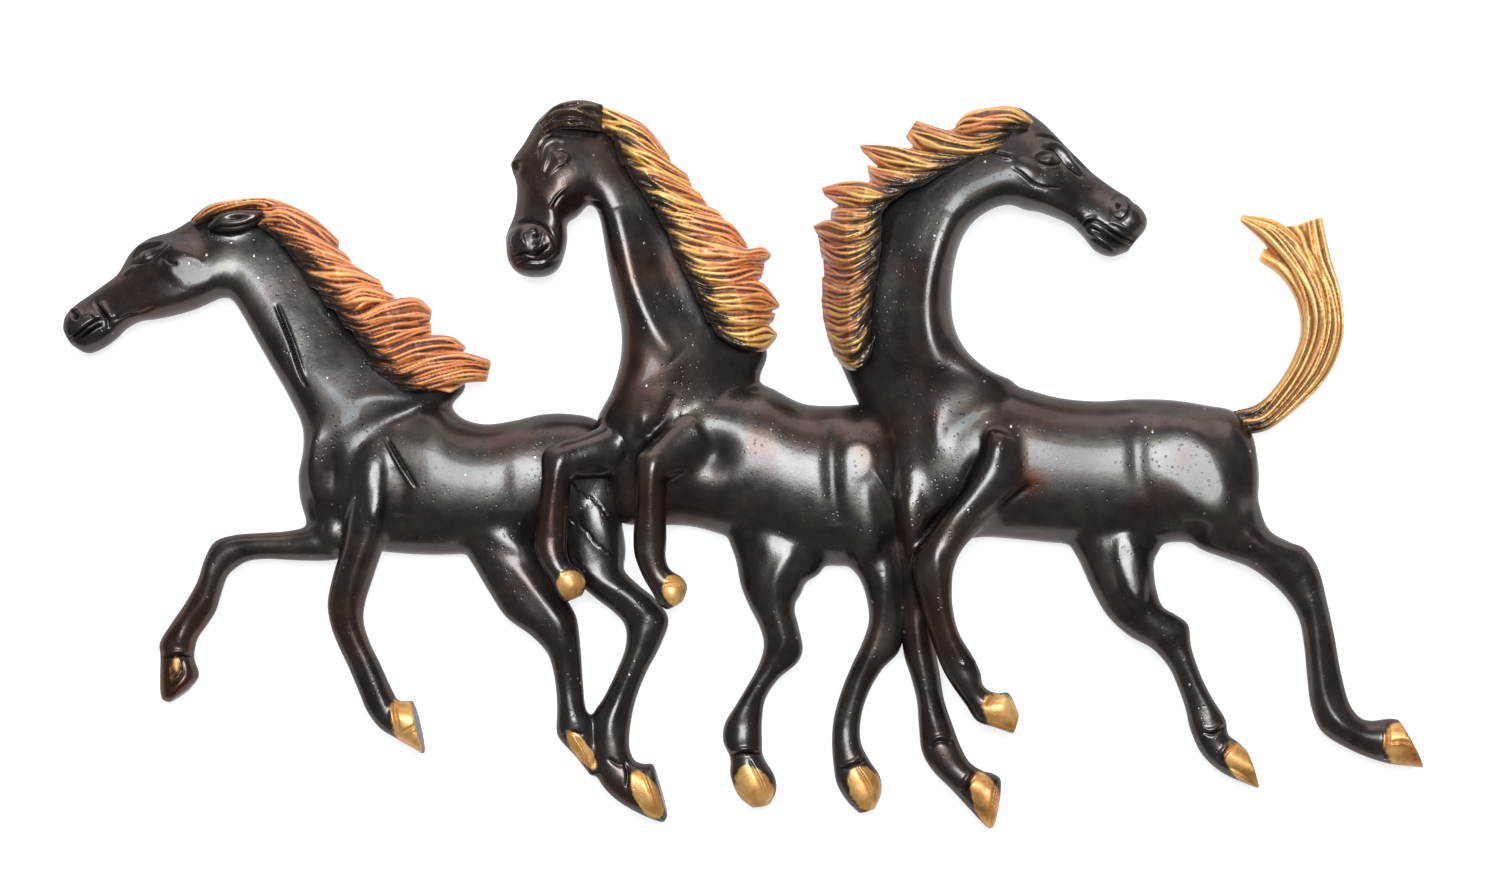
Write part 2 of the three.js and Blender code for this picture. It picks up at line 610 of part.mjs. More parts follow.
const headOf = (horse, grow = 0) => {
  const shapes = [sweepSolid(horse.neck, { sides: HEAD_SIDES, from: horse.headSeam + JOINT / 10, grow })];
  if (horse.ear) {
    shapes.push(sweepSolid(horse.ear, { sides: LOCK_SIDES, grow }));
  }
  return unite(shapes);
};

const legOf = (leg, grow = 0) =>
  sweepSolid(leg.rungs, { sides: LEG_SIDES, from: leg.seam + JOINT / 10, grow });

const maneOf = (horse) =>
  unite([
    sweepSolid(horse.mane, { sides: LOCK_SIDES }),
    ...horse.locks.map((lock) => sweepSolid(lock, { sides: LOCK_SIDES })),
  ]);

const tailOf = (horse, grow = 0) => unite(horse.tail.map((lock) => sweepSolid(lock, { sides: LOCK_SIDES, grow })));

// A strap across the hollow of a body, flush with the wall, with a keyhole for a wall screw.
function strap(horse, x, holeZ) {
  const outline = new THREE.Shape();
  outline.moveTo(-STRAP.width / 2, -60);
  outline.lineTo(STRAP.width / 2, -60);
  outline.lineTo(STRAP.width / 2, 60);
  outline.lineTo(-STRAP.width / 2, 60);
  const keyhole = new THREE.Path();
  const { screwHead, screwShank, slot } = STRAP;
  const meet = Math.asin(screwShank / screwHead);
  keyhole.absarc(0, holeZ, screwHead, Math.PI / 2 + meet, Math.PI / 2 - meet, false);
  keyhole.absarc(0, holeZ + slot, screwShank, 0, Math.PI, false);
  outline.holes.push(keyhole);
  const plate = new THREE.ExtrudeGeometry(outline, { depth: STRAP.thick, bevelEnabled: false, curveSegments: 8 });
  plate.rotateX(Math.PI / 2).translate(x, 0, 0);
  return geometrySolid(plate).intersect(hollow(horse, SHELL + JOINT));
}

const horses = { left, middle, right };
const group = new THREE.Group();
const grown = Object.fromEntries(Object.entries(horses).map(([name, horse]) => [name, trunk(horse, JOINT)]));
const rib = geometrySolid(new THREE.BoxGeometry(RIB, 30, 90));
const hollows = {
  left: hollow(left),
  middle: hollow(middle).subtract(rib),
  right: hollow(right),
};

// Each body gives way to the horse that stands in front of it.
const bodies = {
  right: trunk(right).subtract(hollows.right),
  middle: trunk(middle).subtract(hollows.middle).subtract(grown.right),
  left: trunk(left).subtract(hollows.left).subtract(grown.middle),
};

const blockers = unite(Object.values(grown));
const tailGrown = tailOf(right, JOINT);
const legsGrown = {};
for (const [horseName, horse] of Object.entries(horses)) {
  for (const [legName, leg] of Object.entries(horse.legs)) {
    legsGrown[`${horseName}_${legName}`] = legOf(leg, JOINT);
  }
}

// Where two legs touch, the first is notched for the second.
const NOTCHED = {
  left_near_hindleg: ["left_far_hindleg", "middle_far_foreleg"],
  left_far_hindleg: ["middle_near_foreleg", "middle_far_foreleg"],
  middle_far_hindleg: ["right_far_foreleg"],
  right_far_foreleg: ["right_near_foreleg"],
};

for (const [horseName, horse] of Object.entries(horses)) {
  let body = bodies[horseName].subtract(WALL).subtract(headOf(horse, JOINT));
  if (horse.tail) {
    body = body.subtract(tailGrown);
  }
  for (const leg of Object.values(legsGrown)) {
    body = body.subtract(leg);
  }
  group.add(meshOf(`${horseName}_body`, largest(body), PATINA));
  group.add(meshOf(`${horseName}_head`, largest(headOf(horse).subtract(WALL)), PATINA));
  let mane = maneOf(horse).subtract(WALL).subtract(blockers).subtract(headOf(horse, JOINT));
  group.add(meshOf(`${horseName}_mane`, largest(mane), COPPER));
  for (const [legName, leg] of Object.entries(horse.legs)) {
    const name = `${horseName}_${legName}`;
    let solid = legOf(leg).subtract(WALL);
    for (const other of NOTCHED[name] ?? []) {
      solid = solid.subtract(legsGrown[other]);
    }
    group.add(meshOf(name, largest(solid), PATINA));
  }
}
group.add(meshOf("right_tail", largest(tailOf(right).subtract(WALL)), GOLD));

// Booleans can leave a crumb beside the piece; the piece is the largest of them.
function largest(solid) {
  return solid.decompose().reduce((best, s) => (s.volume() > best.volume() ? s : best));
}

group.add(meshOf("left_hanger", largest(strap(left, -106, -4)), BRASS));
group.add(meshOf("right_hanger", largest(strap(right, 138, -4)), BRASS));

export default group;
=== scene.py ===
"""Wall relief of three galloping horses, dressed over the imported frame: dense cast skins with
chased detail, fluted manes and tail, patina worn to brass at the hooves. Shapes are given in
millimetres: +X right, +Z up, wall plane at y = 0, relief towards -Y."""
import math

import bmesh
import bpy
import numpy as np
from mathutils import Matrix, Vector
from mathutils.kdtree import KDTree


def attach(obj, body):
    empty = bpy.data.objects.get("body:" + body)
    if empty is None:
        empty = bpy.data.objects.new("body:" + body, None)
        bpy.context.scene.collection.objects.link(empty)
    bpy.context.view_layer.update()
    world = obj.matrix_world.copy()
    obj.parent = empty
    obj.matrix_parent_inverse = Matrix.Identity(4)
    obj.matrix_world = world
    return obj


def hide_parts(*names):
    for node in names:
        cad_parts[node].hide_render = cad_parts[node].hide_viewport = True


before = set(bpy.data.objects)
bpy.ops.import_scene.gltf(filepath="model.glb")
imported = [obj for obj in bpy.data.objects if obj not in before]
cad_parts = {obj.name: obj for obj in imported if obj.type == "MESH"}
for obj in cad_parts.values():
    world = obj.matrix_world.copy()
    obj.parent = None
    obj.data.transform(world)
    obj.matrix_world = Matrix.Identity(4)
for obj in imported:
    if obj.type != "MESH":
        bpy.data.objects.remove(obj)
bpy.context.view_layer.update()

# Driving dimensions, in millimetres
MM = 0.001
COARSE = 1.0
SKIN_VOXEL = 0.7 * COARSE  # grain of the cast skins
HAIR_VOXEL = 0.38 * COARSE  # grain of the manes and tail
SHELL = 4.0  # wall of the hollow-backed bodies
THINNEST = 0.4  # least half thickness of a sweep
SEAM_MARGIN = 3.2  # how far a leg's cutter reaches past its skin
FILLET = 4.5  # reach of the fillets where limbs meet bodies
UPWARDS = 0.09  # slope of planished flats
INWARDS = 0.00072  # their turn towards the middle of the relief, per mm from it
PLANISH = 0.72  # share of the way that a flat goes to its plane
MANE_CORE = 2.2  # how far the core of a mane lies under the sweep of the CAD
MANE_DARK, TAIL_DARK = 7.0, 19.0  # about how far from the root line their strands are dark
GILDING_REACH = 25.0  # from the root line of a mane to where its gilding stops changing
SHARP_EDGE = 55.0  # angle from which an edge is sharp, in degrees
CRUMB = 250  # points: a cut drops smaller islands
FINE_STAND = 4.0  # the skin is refined where it stands further off the wall
WALL_GAP = 2.0  # from the relief's back to the backdrop
PHOTO_WIDTH = 574.4  # width of the view, in the plane y = FOCUS_Y
FOCUS_Y = -10.0
VIEW_CENTRE = (2.3, 8.0)
CAMERA_AT = (50.0, -1200.0, -35.0)

# Sweeps, as in the CAD: each rung is one oval section, given by the two ends of its long axis as
# they appear in the picture, how far its middle stands off the wall, and half its thickness:
# [ax, az, bx, bz, stand, half]. With seven numbers, each end has its own stand after its z.
SWEEPS = {
    "left_torso": [
        [-158, 8, -160, -26, 4, 12], [-146, 20, -148, -32, 3, 18], [-132, 25, -134, -34, 3, 21],
        [-116, 24, -120, -34.8, 3, 22], [-108, 17.2, -109, -34.6, 3, 21.5], [-99, 14.8, -99, -34, 3, 21],
        [-88, 16.2, -88, -33, 3, 20], [-77, 18.6, -78, -31, 2, 18.5], [-67, 18.8, -68, -29, 2, 17],
        [-57, 16.8, -58, -27, 2, 15], [-48, 10, -50, -22, 2, 11], [-44.5, 2, -46, -12, 2, 6]],
    "left_neck": [
        [-135, -26, -166.5, -24, 5, 12], [-128, -14, -169.3, -14, 5, 17], [-124, 0, -169.8, -5, 5, 19],
        [-117, 18, -167.8, 5, 5, 20], [-107, 30, -168.3, 14, 5, 19.5], [-122, 42, -173.5, 25.5, 5, 18.5],
        [-142, 57, -179.5, 36, 5, 17], [-151, 68, -185, 45.5, 5, 16], [-160, 80, -190, 54.5, 5, 15],
        [-170, 91, -194, 61, 5.5, 14], [-183, 99, -196.5, 63.5, 6, 13.5],
        [-197, 100, -199.5, 63.8, 7, 13.5], [-209, 94.5, -204, 62, 8, 13.5],
        [-219, 88.7, -211, 59, 9, 13.5], [-228, 85.8, -219, 56.7, 9, 13],
        [-234.5, 80.7, -226, 55.3, 9, 11.5], [-239.5, 72.5, -231.5, 54.5, 9, 10],
        [-244.5, 68.5, -236.5, 51.8, 9, 9], [-250, 64.5, -241, 47.5, 9, 9],
        [-255.5, 60.6, -246.5, 43.8, 9, 9.5], [-259.3, 56.5, -251.5, 42.3, 9, 8.5],
        [-260.2, 52.5, -256.5, 44.8, 9, 6]],
    "left_ear": [
        [-205.5, 91, -204.5, 88.5, 19, 2], [-201, 95.5, -199.5, 88.3, 20, 4],
        [-194, 97.4, -193, 88.8, 20, 4.5], [-187, 97.5, -186.5, 91.5, 19.5, 3.8],
        [-182.2, 97, -182.4, 95.4, 19, 1.5]],
    "left_mane": [
        [-212, 93.2, 10, -209.5, 90.5, 18, 4], [-206, 98.5, 9, -202, 94, 19, 5],
        [-196, 100.8, 9, -192, 93, 19, 6], [-184, 101.4, 9, -184, 88, 18.5, 6.5],
        [-173, 99.8, 9, -178, 83, 19, 6.5], [-162, 93.5, 9, -170, 75, 19.5, 7],
        [-153.5, 82, 9, -164, 66, 20.5, 7], [-145, 74, 9, -157, 58, 21.5, 7],
        [-136, 66.5, 9, -151, 50, 22.5, 7], [-127, 57, 9, -146, 42, 23, 7],
        [-118, 47, 9, -138, 35, 23.5, 7], [-109, 38, 9, -126, 29, 23.5, 6.5],
        [-103, 33.5, 10, -114, 26, 22, 5]],
    "middle_torso": [
        [-52, 10, -51.5, -15, 5, 9], [-46, 22, -47, -22.5, 5, 15], [-34, 30, -34, -23.4, 5, 19.5],
        [-20, 33, -20, -24, 4, 22], [-4, 32, -5, -28, 4, 22.5], [9, 29.3, 8, -31, 4, 22.5],
        [22, 22.9, 21, -36, 4, 22.5], [34, 21.8, 34, -39, 4, 22.5], [45, 22.3, 43, -38.5, 4, 22.5],
        [54, 20, 54, -36, 4, 20.5], [62, 10, 62, -24, 4, 13]],
    "middle_neck": [
        [-14, -8, -46, -6, 5, 11], [-4, 4, -53, 6, 5, 17.5], [5, 18, -55.8, 16.5, 5, 21],
        [5.6, 32, -50.3, 27.5, 6, 22], [8.6, 42.5, -47, 39, 7, 21], [3, 54, -46.6, 51, 8, 19.5],
        [-5, 67, -48.8, 62, 9, 18.5], [-12, 79, -51, 72, 10, 17], [-19, 91, -52.8, 82.5, 11, 16],
        [-27, 104, -54.3, 91.5, 12, 15], [-36, 117, -56, 97, 13, 14.5], [-45, 129, -58.5, 99.8, 14, 14.5],
        [-56, 136, -61, 99.5, 15, 15], [-68, 138, -63.5, 98.3, 16, 15.5],
        [-77.5, 132.5, -66, 96.8, 17, 15.5], [-84, 122.5, -67.8, 95, 18, 14.5],
        [-88.8, 114.5, -68.4, 93.3, 19, 13.5], [-86.8, 106, -68.3, 91.5, 20, 12.5],
        [-87.5, 96, -68, 88.5, 20, 12.5], [-91, 86, -68.1, 84.5, 20.5, 13],
        [-89.5, 79, -69.7, 78.5, 20.5, 12], [-83.5, 73.8, -74.5, 73.6, 20.5, 7]],
    "middle_mane": [
        [-77, 134, 22, -75, 129.5, 30, 4], [-70, 138.3, 16, -68, 130, 30, 6],
        [-60, 138.3, 15, -60, 127.5, 28, 7], [-50, 135, 14, -53, 125, 26, 7],
        [-42, 131.8, 14, -49, 119, 25.5, 7], [-35.5, 125, 14, -44, 112, 25.5, 7],
        [-28, 116, 13, -38, 103.5, 25.5, 7], [-20, 107.5, 13, -31.5, 95, 25.5, 7],
        [-11.5, 98, 12, -27.5, 85, 25.5, 7.5], [-4.5, 90, 12, -25, 76, 26, 7.5],
        [1.5, 80, 11, -20, 67, 26, 7.5], [4.5, 69.5, 11, -16, 59, 27, 7.5],
        [7, 58, 11, -10.5, 51.5, 27, 7.5], [7.5, 49, 11, -4, 46, 26, 6.5], [6.5, 45, 12, 1, 44, 22, 5]],
    "right_torso": [
        [52, 6, 56, -22, 5, 11], [60, 20, 63, -30, 5, 16.5], [75, 28, 78, -30, 5, 20],
        [92, 32, 92, -28, 5, 22], [106, 28.8, 106, -29, 5, 22], [120, 25, 120, -30.3, 5, 22],
        [135, 23.6, 135, -31, 5, 22], [150, 24.4, 150, -31, 5, 22.5], [164, 24, 163, -30, 5, 23],
        [177, 22, 174, -30, 5, 23], [187, 19.8, 184, -30, 5, 22], [193.5, 12, 193, -24, 5, 18],
        [196, 2, 196, -14, 5, 10]],
    "right_neck": [
        [54, -8, 95, -6, 4, 15], [49.5, 7, 101, 12, 4, 20], [44.3, 22, 104, 29.8, 4, 22],
        [40, 31.5, 94, 35.3, 5, 22.5], [36, 42, 85, 43, 6, 21.5], [34.5, 55, 80.2, 53, 7, 20.5],
        [35.5, 68, 79.2, 63, 8, 20], [39, 81, 79.8, 72.5, 9, 19.5], [45, 95, 81.5, 81, 10, 18.5],
        [54, 108, 84.2, 87.8, 11, 17], [66, 119, 88.3, 93.2, 12, 16], [79, 127.5, 93, 96.6, 13, 15.5],
        [92, 133.5, 98, 98.8, 13.5, 15], [104, 136.3, 103, 99.3, 14, 15],
        [113, 131.3, 108.5, 97.8, 14, 15], [120, 124.7, 114.5, 96, 14, 14.5],
        [127, 117.6, 120.5, 93.8, 13.5, 13], [134, 110.6, 125.5, 91.3, 13, 11.5],
        [141, 105.4, 130, 87, 13, 11], [147, 101.4, 134.5, 81.7, 13, 11.5],
        [151, 95.5, 140.5, 79.4, 13, 10.5], [152.7, 89, 147, 81.2, 13, 6.5]],
    "right_mane": [
        [107.5, 135.7, 18, 107, 130, 27, 5], [99, 136, 15, 101, 126, 27, 6],
        [90, 135, 14, 92, 122.5, 26, 7], [81, 130, 13, 84, 119, 26, 7],
        [72, 127.8, 12, 77, 113.5, 26.5, 7.5], [62, 121.5, 12, 69, 108.5, 27, 7.5],
        [52, 116, 11, 61, 102.5, 28, 7.5], [45, 106, 10, 55, 97, 28, 8], [37, 97.5, 10, 52.5, 90, 28, 8],
        [28.8, 86.5, 9, 51, 82, 28, 8], [29.8, 76.5, 9, 48.5, 73, 27, 8], [28.8, 67, 9, 46.5, 65, 26, 8],
        [29.8, 57.5, 9, 46, 57, 26, 8], [32.3, 48, 9, 47.5, 49, 26, 7.5],
        [36.3, 40, 9, 46.5, 42, 25, 6.5], [39, 37, 12, 43, 37.5, 22, 5]],
}
# Legs: the rung of the joint with the body, and the rungs from the root to the hoof.
LEGS = {
    "left_near_foreleg": (4, [
        [-154, 12, -130, 14, 13, 8], [-152, 0, -131, 2, 16, 9.5], [-150.3, -10, -133.5, -10, 17.5, 9],
        [-151.3, -20, -136, -20, 18, 8.5], [-153.2, -31, -138.3, -31, 17, 8],
        [-157, -43, -142.2, -43, 16, 7.5], [-159, -54, -145.6, -54, 15, 7],
        [-157.8, -62, -146, -61, 14, 6.5], [-155, -69.5, -143.7, -68.5, 13.5, 6],
        [-151, -78, -139.8, -76.5, 13, 5.8], [-147, -87.5, -136, -85, 12.5, 5.8],
        [-143.8, -95, -134, -89, 12, 6.2], [-139, -101.2, -132.8, -91.4, 12, 6.2],
        [-133.3, -104.8, -131.2, -91.4, 12, 6.6], [-122.2, -111.3, -126.8, -91.2, 11.5, 7]]),
    "left_far_foreleg": (2, [
        [-156, -18, -152, -36, 8, 9], [-166, -24, -161, -37, 9, 8.5], [-175, -26.2, -172, -36.8, 9, 7],
        [-185, -26.9, -183, -36.3, 9, 6], [-195, -27.7, -190.5, -37.3, 8.5, 5.8],
        [-202.5, -30.3, -195.5, -40.3, 8, 6.2], [-206, -36.5, -198.3, -43.3, 8, 6],
        [-208.8, -45, -200.5, -49.5, 7.5, 5.6], [-213.5, -53.5, -202.7, -56.5, 7, 5.6],
        [-219, -61.5, -206.5, -62.5, 7, 5.6], [-223.2, -68.5, -209.8, -67.5, 7, 6.2],
        [-223, -73.8, -211, -73.8, 7, 6], [-222.6, -89.6, -209.3, -82, 7, 7],
        [-219.6, -91.4, -212.8, -86.6, 7, 5]]),
    "left_near_hindleg": (3.5, [
        [-108, -20, -84, -8, 7, 11], [-107, -32, -81, -26, 9, 11], [-102, -41, -76, -36.5, 10, 10.5],
        [-97, -49.5, -71.5, -46, 11, 9.5], [-90.5, -59, -67, -54, 11.5, 8.8],
        [-81, -66, -64.5, -59, 12, 7.8], [-75.3, -72, -63.5, -64.5, 12, 6.6],
        [-73, -78, -62.7, -73, 11, 5.6], [-71.5, -87, -62, -84, 10, 5.1],
        [-71.2, -95, -61, -93.5, 10, 5.3], [-71.4, -102.5, -58.5, -98.5, 10, 6],
        [-70, -105.8, -57.5, -104, 9.5, 5.8], [-64, -112.2, -56.8, -110.5, 9, 5.4],
        [-58.3, -119.5, -55.8, -118.5, 8.5, 4.4]]),
    "left_far_hindleg": (4, [
        [-68, -12, -47, -4, 6, 10], [-69, -24, -46.5, -20, 7, 9.5], [-68.5, -35, -49, -31, 8, 9],
        [-63.5, -45, -46.5, -40.5, 8, 8.5], [-56.5, -51.5, -40.5, -46.8, 8, 7.8],
        [-50, -56.5, -34.5, -51.8, 8, 7.2], [-45.3, -62, -29.3, -59.5, 8, 7],
        [-45, -70, -32, -69, 8, 6.4], [-48.7, -80, -37.7, -80, 8, 5.6],
        [-53.3, -89.5, -41.8, -90.5, 8, 5.4], [-57.6, -96.8, -43.8, -100, 8.5, 6],
        [-57, -107, -44.2, -108.5, 9, 6.4], [-56, -119.5, -42, -114, 9, 6.4],
        [-48.3, -128.8, -38, -115.3, 9, 6.8], [-31.5, -137, -34.4, -116.2, 9, 7.2],
        [-29.3, -134.5, -32.6, -122, 9, 5]]),
    "middle_far_foreleg": (2.5, [
        [-48, 17, -44, -4, 14, 9], [-56, 13, -54, -5, 18, 9], [-64, 9.8, -61, -5.5, 21.5, 8],
        [-71, 7.8, -65, -5.5, 24, 7], [-76.6, 4, -66.5, -6.5, 25, 6.5], [-77.2, -6, -67, -12, 25, 6],
        [-78.3, -16, -67.8, -19, 24.5, 5.8], [-79.7, -25.5, -68, -27, 24, 6],
        [-79.8, -32.5, -68, -34, 24, 6.2], [-77, -39.5, -66.3, -38.5, 24, 6.2],
        [-74, -43.8, -63.2, -40.8, 24, 6.5], [-71.6, -49.3, -60.6, -45.6, 24, 6.6],
        [-68.6, -53.2, -62.3, -50.8, 24, 5]]),
    "middle_near_foreleg": (2.5, [
        [-22, 21, -8, -1, 16, 12], [-30, 14, -20, -4, 21.5, 9.5], [-36, 7.5, -27, -5, 26, 8],
        [-40.4, 2.5, -30, -6, 28, 7], [-41, -9, -30.4, -11, 28, 6.2], [-41.3, -19, -30.2, -20, 27, 6],
        [-42, -28.5, -30, -29, 26, 6.2], [-41.3, -36, -30.3, -36, 25.5, 6.2],
        [-38, -44, -28.5, -40.8, 25, 6.2], [-35, -49, -24, -43.8, 25, 6.6],
        [-32.3, -53.8, -22, -47.6, 25, 6.8], [-29, -56, -23.8, -53.2, 25, 5]]),
    "middle_near_hindleg": (3, [
        [-6, -18, 34, -16, 6, 13], [-5.5, -29, 32, -33, 8, 13], [-2.8, -37, 29, -41.6, 9, 12],
        [-0.8, -47, 21.3, -47.2, 10, 10.5], [2.5, -55, 19, -55, 10, 9], [6.3, -62.5, 20.5, -62, 10, 8],
        [7.9, -70, 22.2, -71, 10, 7.2], [6, -77, 20, -76.5, 10, 6.2], [2, -84.5, 13, -82.5, 10, 5.5],
        [-2.5, -92, 8, -90, 10, 5.4], [-7, -99.5, 6.6, -98, 10, 6], [-7.6, -106.5, 6.6, -106.5, 10, 6.6],
        [-5, -112.5, 7, -112, 10, 6.2], [-4.8, -120, 11.3, -119.5, 10, 7],
        [-1.5, -127.5, 12, -125.5, 10, 6.6], [3.5, -131.7, 9.5, -130.7, 10, 4.5]]),
    "middle_far_hindleg": (2.5, [
        [34, -22, 60, -14, 6, 12], [38, -36, 61, -30, 8, 12], [44.5, -44, 61.5, -42, 9.5, 10.5],
        [47.6, -53.5, 61.5, -53, 10, 8.5], [48, -61, 61.5, -62, 10, 7.5], [45.2, -69.5, 59, -72, 10, 6.6],
        [41, -78.5, 52.5, -79, 10, 5.6], [37.3, -88, 47.3, -88, 10, 5], [34.7, -97.5, 44.5, -97.5, 10, 5],
        [34, -106.5, 44.4, -106.5, 10, 5.6], [34.6, -115.5, 47.5, -113.3, 10, 6.2],
        [36, -123, 51.8, -120, 10, 6.8], [40, -129.5, 52.2, -126.5, 10, 6.6],
        [44.5, -133.8, 49.8, -132.3, 10, 4.5]]),
    "right_far_foreleg": (3, [
        [56, -4, 76, -2, 12, 11], [57, -16, 74, -14, 14, 10], [59, -28, 72.5, -27, 14, 8.5],
        [60.7, -40, 71, -38, 13, 7.5], [61, -50, 71, -48, 12, 7], [60.5, -61, 71.5, -59, 11.5, 6.8],
        [61.5, -73, 73, -71, 11, 6.4], [64.3, -82, 74.7, -80.5, 11, 6], [66.5, -91, 76.2, -90, 11, 5.6],
        [67.3, -101, 79.5, -100, 11, 6], [68.5, -110.5, 82.5, -108, 11, 6.6],
        [72.5, -117.5, 86, -114.3, 11, 6.4], [79.8, -124.8, 91.5, -118, 11, 6.6],
        [85.8, -131.3, 94.5, -118.8, 11, 7], [94, -139.5, 98.3, -121.6, 11, 7.2],
        [96, -138, 98.2, -127, 11, 5]]),
    "right_near_foreleg": (3.5, [
        [92, 13, 22, 111, 5, 15, 10], [89.5, -1, 25, 109.5, -8, 16, 10.5],
        [83.5, -11.5, 26, 102.5, -15.5, 17.5, 9.5], [76.5, -20.5, 26, 92.5, -23.5, 20, 8.5],
        [69.5, -30, 83.2, -33, 24, 7.5], [65, -37, 80, -40.5, 24, 7.5], [65.4, -45, 79.3, -48, 23.5, 6.8],
        [68, -55, 79.7, -56, 23, 6.3], [71.5, -66, 82, -65, 22, 6], [76, -78, 87, -73.5, 21, 6],
        [80, -85, 90.2, -80, 20.5, 6.4], [85, -92, 91.5, -85.5, 20, 5.8],
        [89.5, -98.5, 96.5, -88.3, 19.5, 6.2], [95.8, -100.7, 101.2, -88.2, 19, 6.8],
        [103.3, -103.3, 105.3, -96.5, 19, 5]]),
    "right_far_hindleg": (2.5, [
        [124, -14, 162, -12, 6, 13], [124.5, -29, 160, -30, 8, 12.5], [129, -38, 156.5, -38, 9, 11.5],
        [134, -49, 157.5, -48, 10, 10.5], [139.5, -58.3, 160, -54.8, 10, 9],
        [147.5, -65.7, 165, -58, 10, 8], [156.5, -70.7, 169.8, -62, 10, 7.2],
        [162.7, -77.5, 171, -70.5, 10, 6], [166.3, -85, 174.7, -81.5, 10, 5.2],
        [169.3, -93.5, 179, -90, 10, 5.4], [171.3, -102, 184, -98, 10, 6.3],
        [175.5, -111, 185, -103.8, 10, 6], [183, -118, 188.5, -106.5, 10, 6.4],
        [197.3, -124.4, 192.5, -109.8, 10, 6.6]]),
    "right_near_hindleg": (3, [
        [166, -24, 194, 2, 8, 15], [174, -32, 196.5, -14, 11, 13.5], [184, -36, 200.5, -25.3, 12.5, 11.5],
        [193.5, -39.5, 208, -30, 13, 9.5], [202, -45.3, 214.8, -33, 13, 8.2],
        [208.5, -52, 219.8, -41, 13, 7.6], [213, -60, 223, -53.5, 12.5, 6.6],
        [215, -71, 225.7, -66, 12, 6], [216, -82, 228, -79, 11.5, 5.8], [217.8, -94, 231.5, -92, 11, 6.2],
        [221.5, -102.5, 235.5, -97.3, 11, 6.8], [230.5, -108.5, 240, -98.7, 11, 6.2],
        [245, -114.2, 247, -98, 11, 6.8], [260, -116.2, 250.8, -98.4, 11, 7.4]]),
}
# Index of the rung at which each head is joined on, and to which each neck is hollow.
HEAD_SEAM = {"left": 11, "middle": 12, "right": 12}
HOLLOW_END = {"left": 8, "middle": 7, "right": 8}
IN_FRONT = {"left": "middle", "middle": "right"}  # which horse each is cut to fit behind
# Low and high corners (x, y, z) of the space behind the wall plane, and of the middle horse's rib.
BEHIND = ((-400, 0, -300), (400, 80, 300))
RIB = ((-2.5, -15, -60), (2.5, 80, 60))
# How far the ridge of each neck lies towards the throat, in the middle and at the head.
LEAN = {"left": (0.52, 0.0), "middle": (0.52, 0.45), "right": (0.5, 0.0)}
# Muscles that swell the skins: (x, z, stand, half length, half width, half depth, tilt).
MUSCLES = {
    "left": [
        (-211, 75.5, 9, 14, 9, 13.6, -25), (-73, -7, 3, 18, 19, 18.2, 90),
        (-92, -29, 6, 25, 10, 15, -48), (-56, -24, 6, 20, 9, 12, -75),
        (-155, -26, 6, 9.5, 7.5, 14, 80),
    ],
    "middle": [
        (-79.9, 82.6, 20, 10.8, 11.2, 13.4, 0), (-69, 109, 16, 17, 12, 15.6, 68),
        (46, -14, 6, 30, 10.5, 20.6, -86), (14, -35, 7, 20, 10, 14.2, -88),
    ],
    "right": [
        (107, 109, 14, 14, 10, 15.6, -35), (175, -6, 5, 28, 16, 24.2, -62),
        (96, 5, 7, 13, 9, 21.5, 75), (146, -37, 7, 22, 10, 15.2, -78),
        (146, 92, 13, 7.5, 8, 12, -50),
    ],
}
# Boxes of the wall plane where the skins are twice as fine: low and high (x, z).
FINE_BOXES = {
    "left": [((-262, 40), (-178, 104)), ((-140, -112), (-118, -86)), ((-226, -94), (-206, -68)),
             ((-74, -122), (-52, -98)), ((-52, -140), (-26, -108)), ((-72, -40), (-46, 0)),
             ((-182, 26), (-164, 64)), ((-140, -12), (-122, 12))],
    "middle": [((-95, 68), (-45, 141)), ((-82, -56), (-58, -38)), ((-43, -58), (-20, -38)),
               ((-10, -134), (14, -106)), ((32, -136), (54, -108)), ((44, -76), (64, 2))],
    "right": [((84, 76), (156, 139)), ((88, -105), (108, -82)), ((66, -142), (102, -100)),
              ((168, -126), (200, -94)), ((238, -118), (262, -94)), ((54, -76), (64, 2))],
}

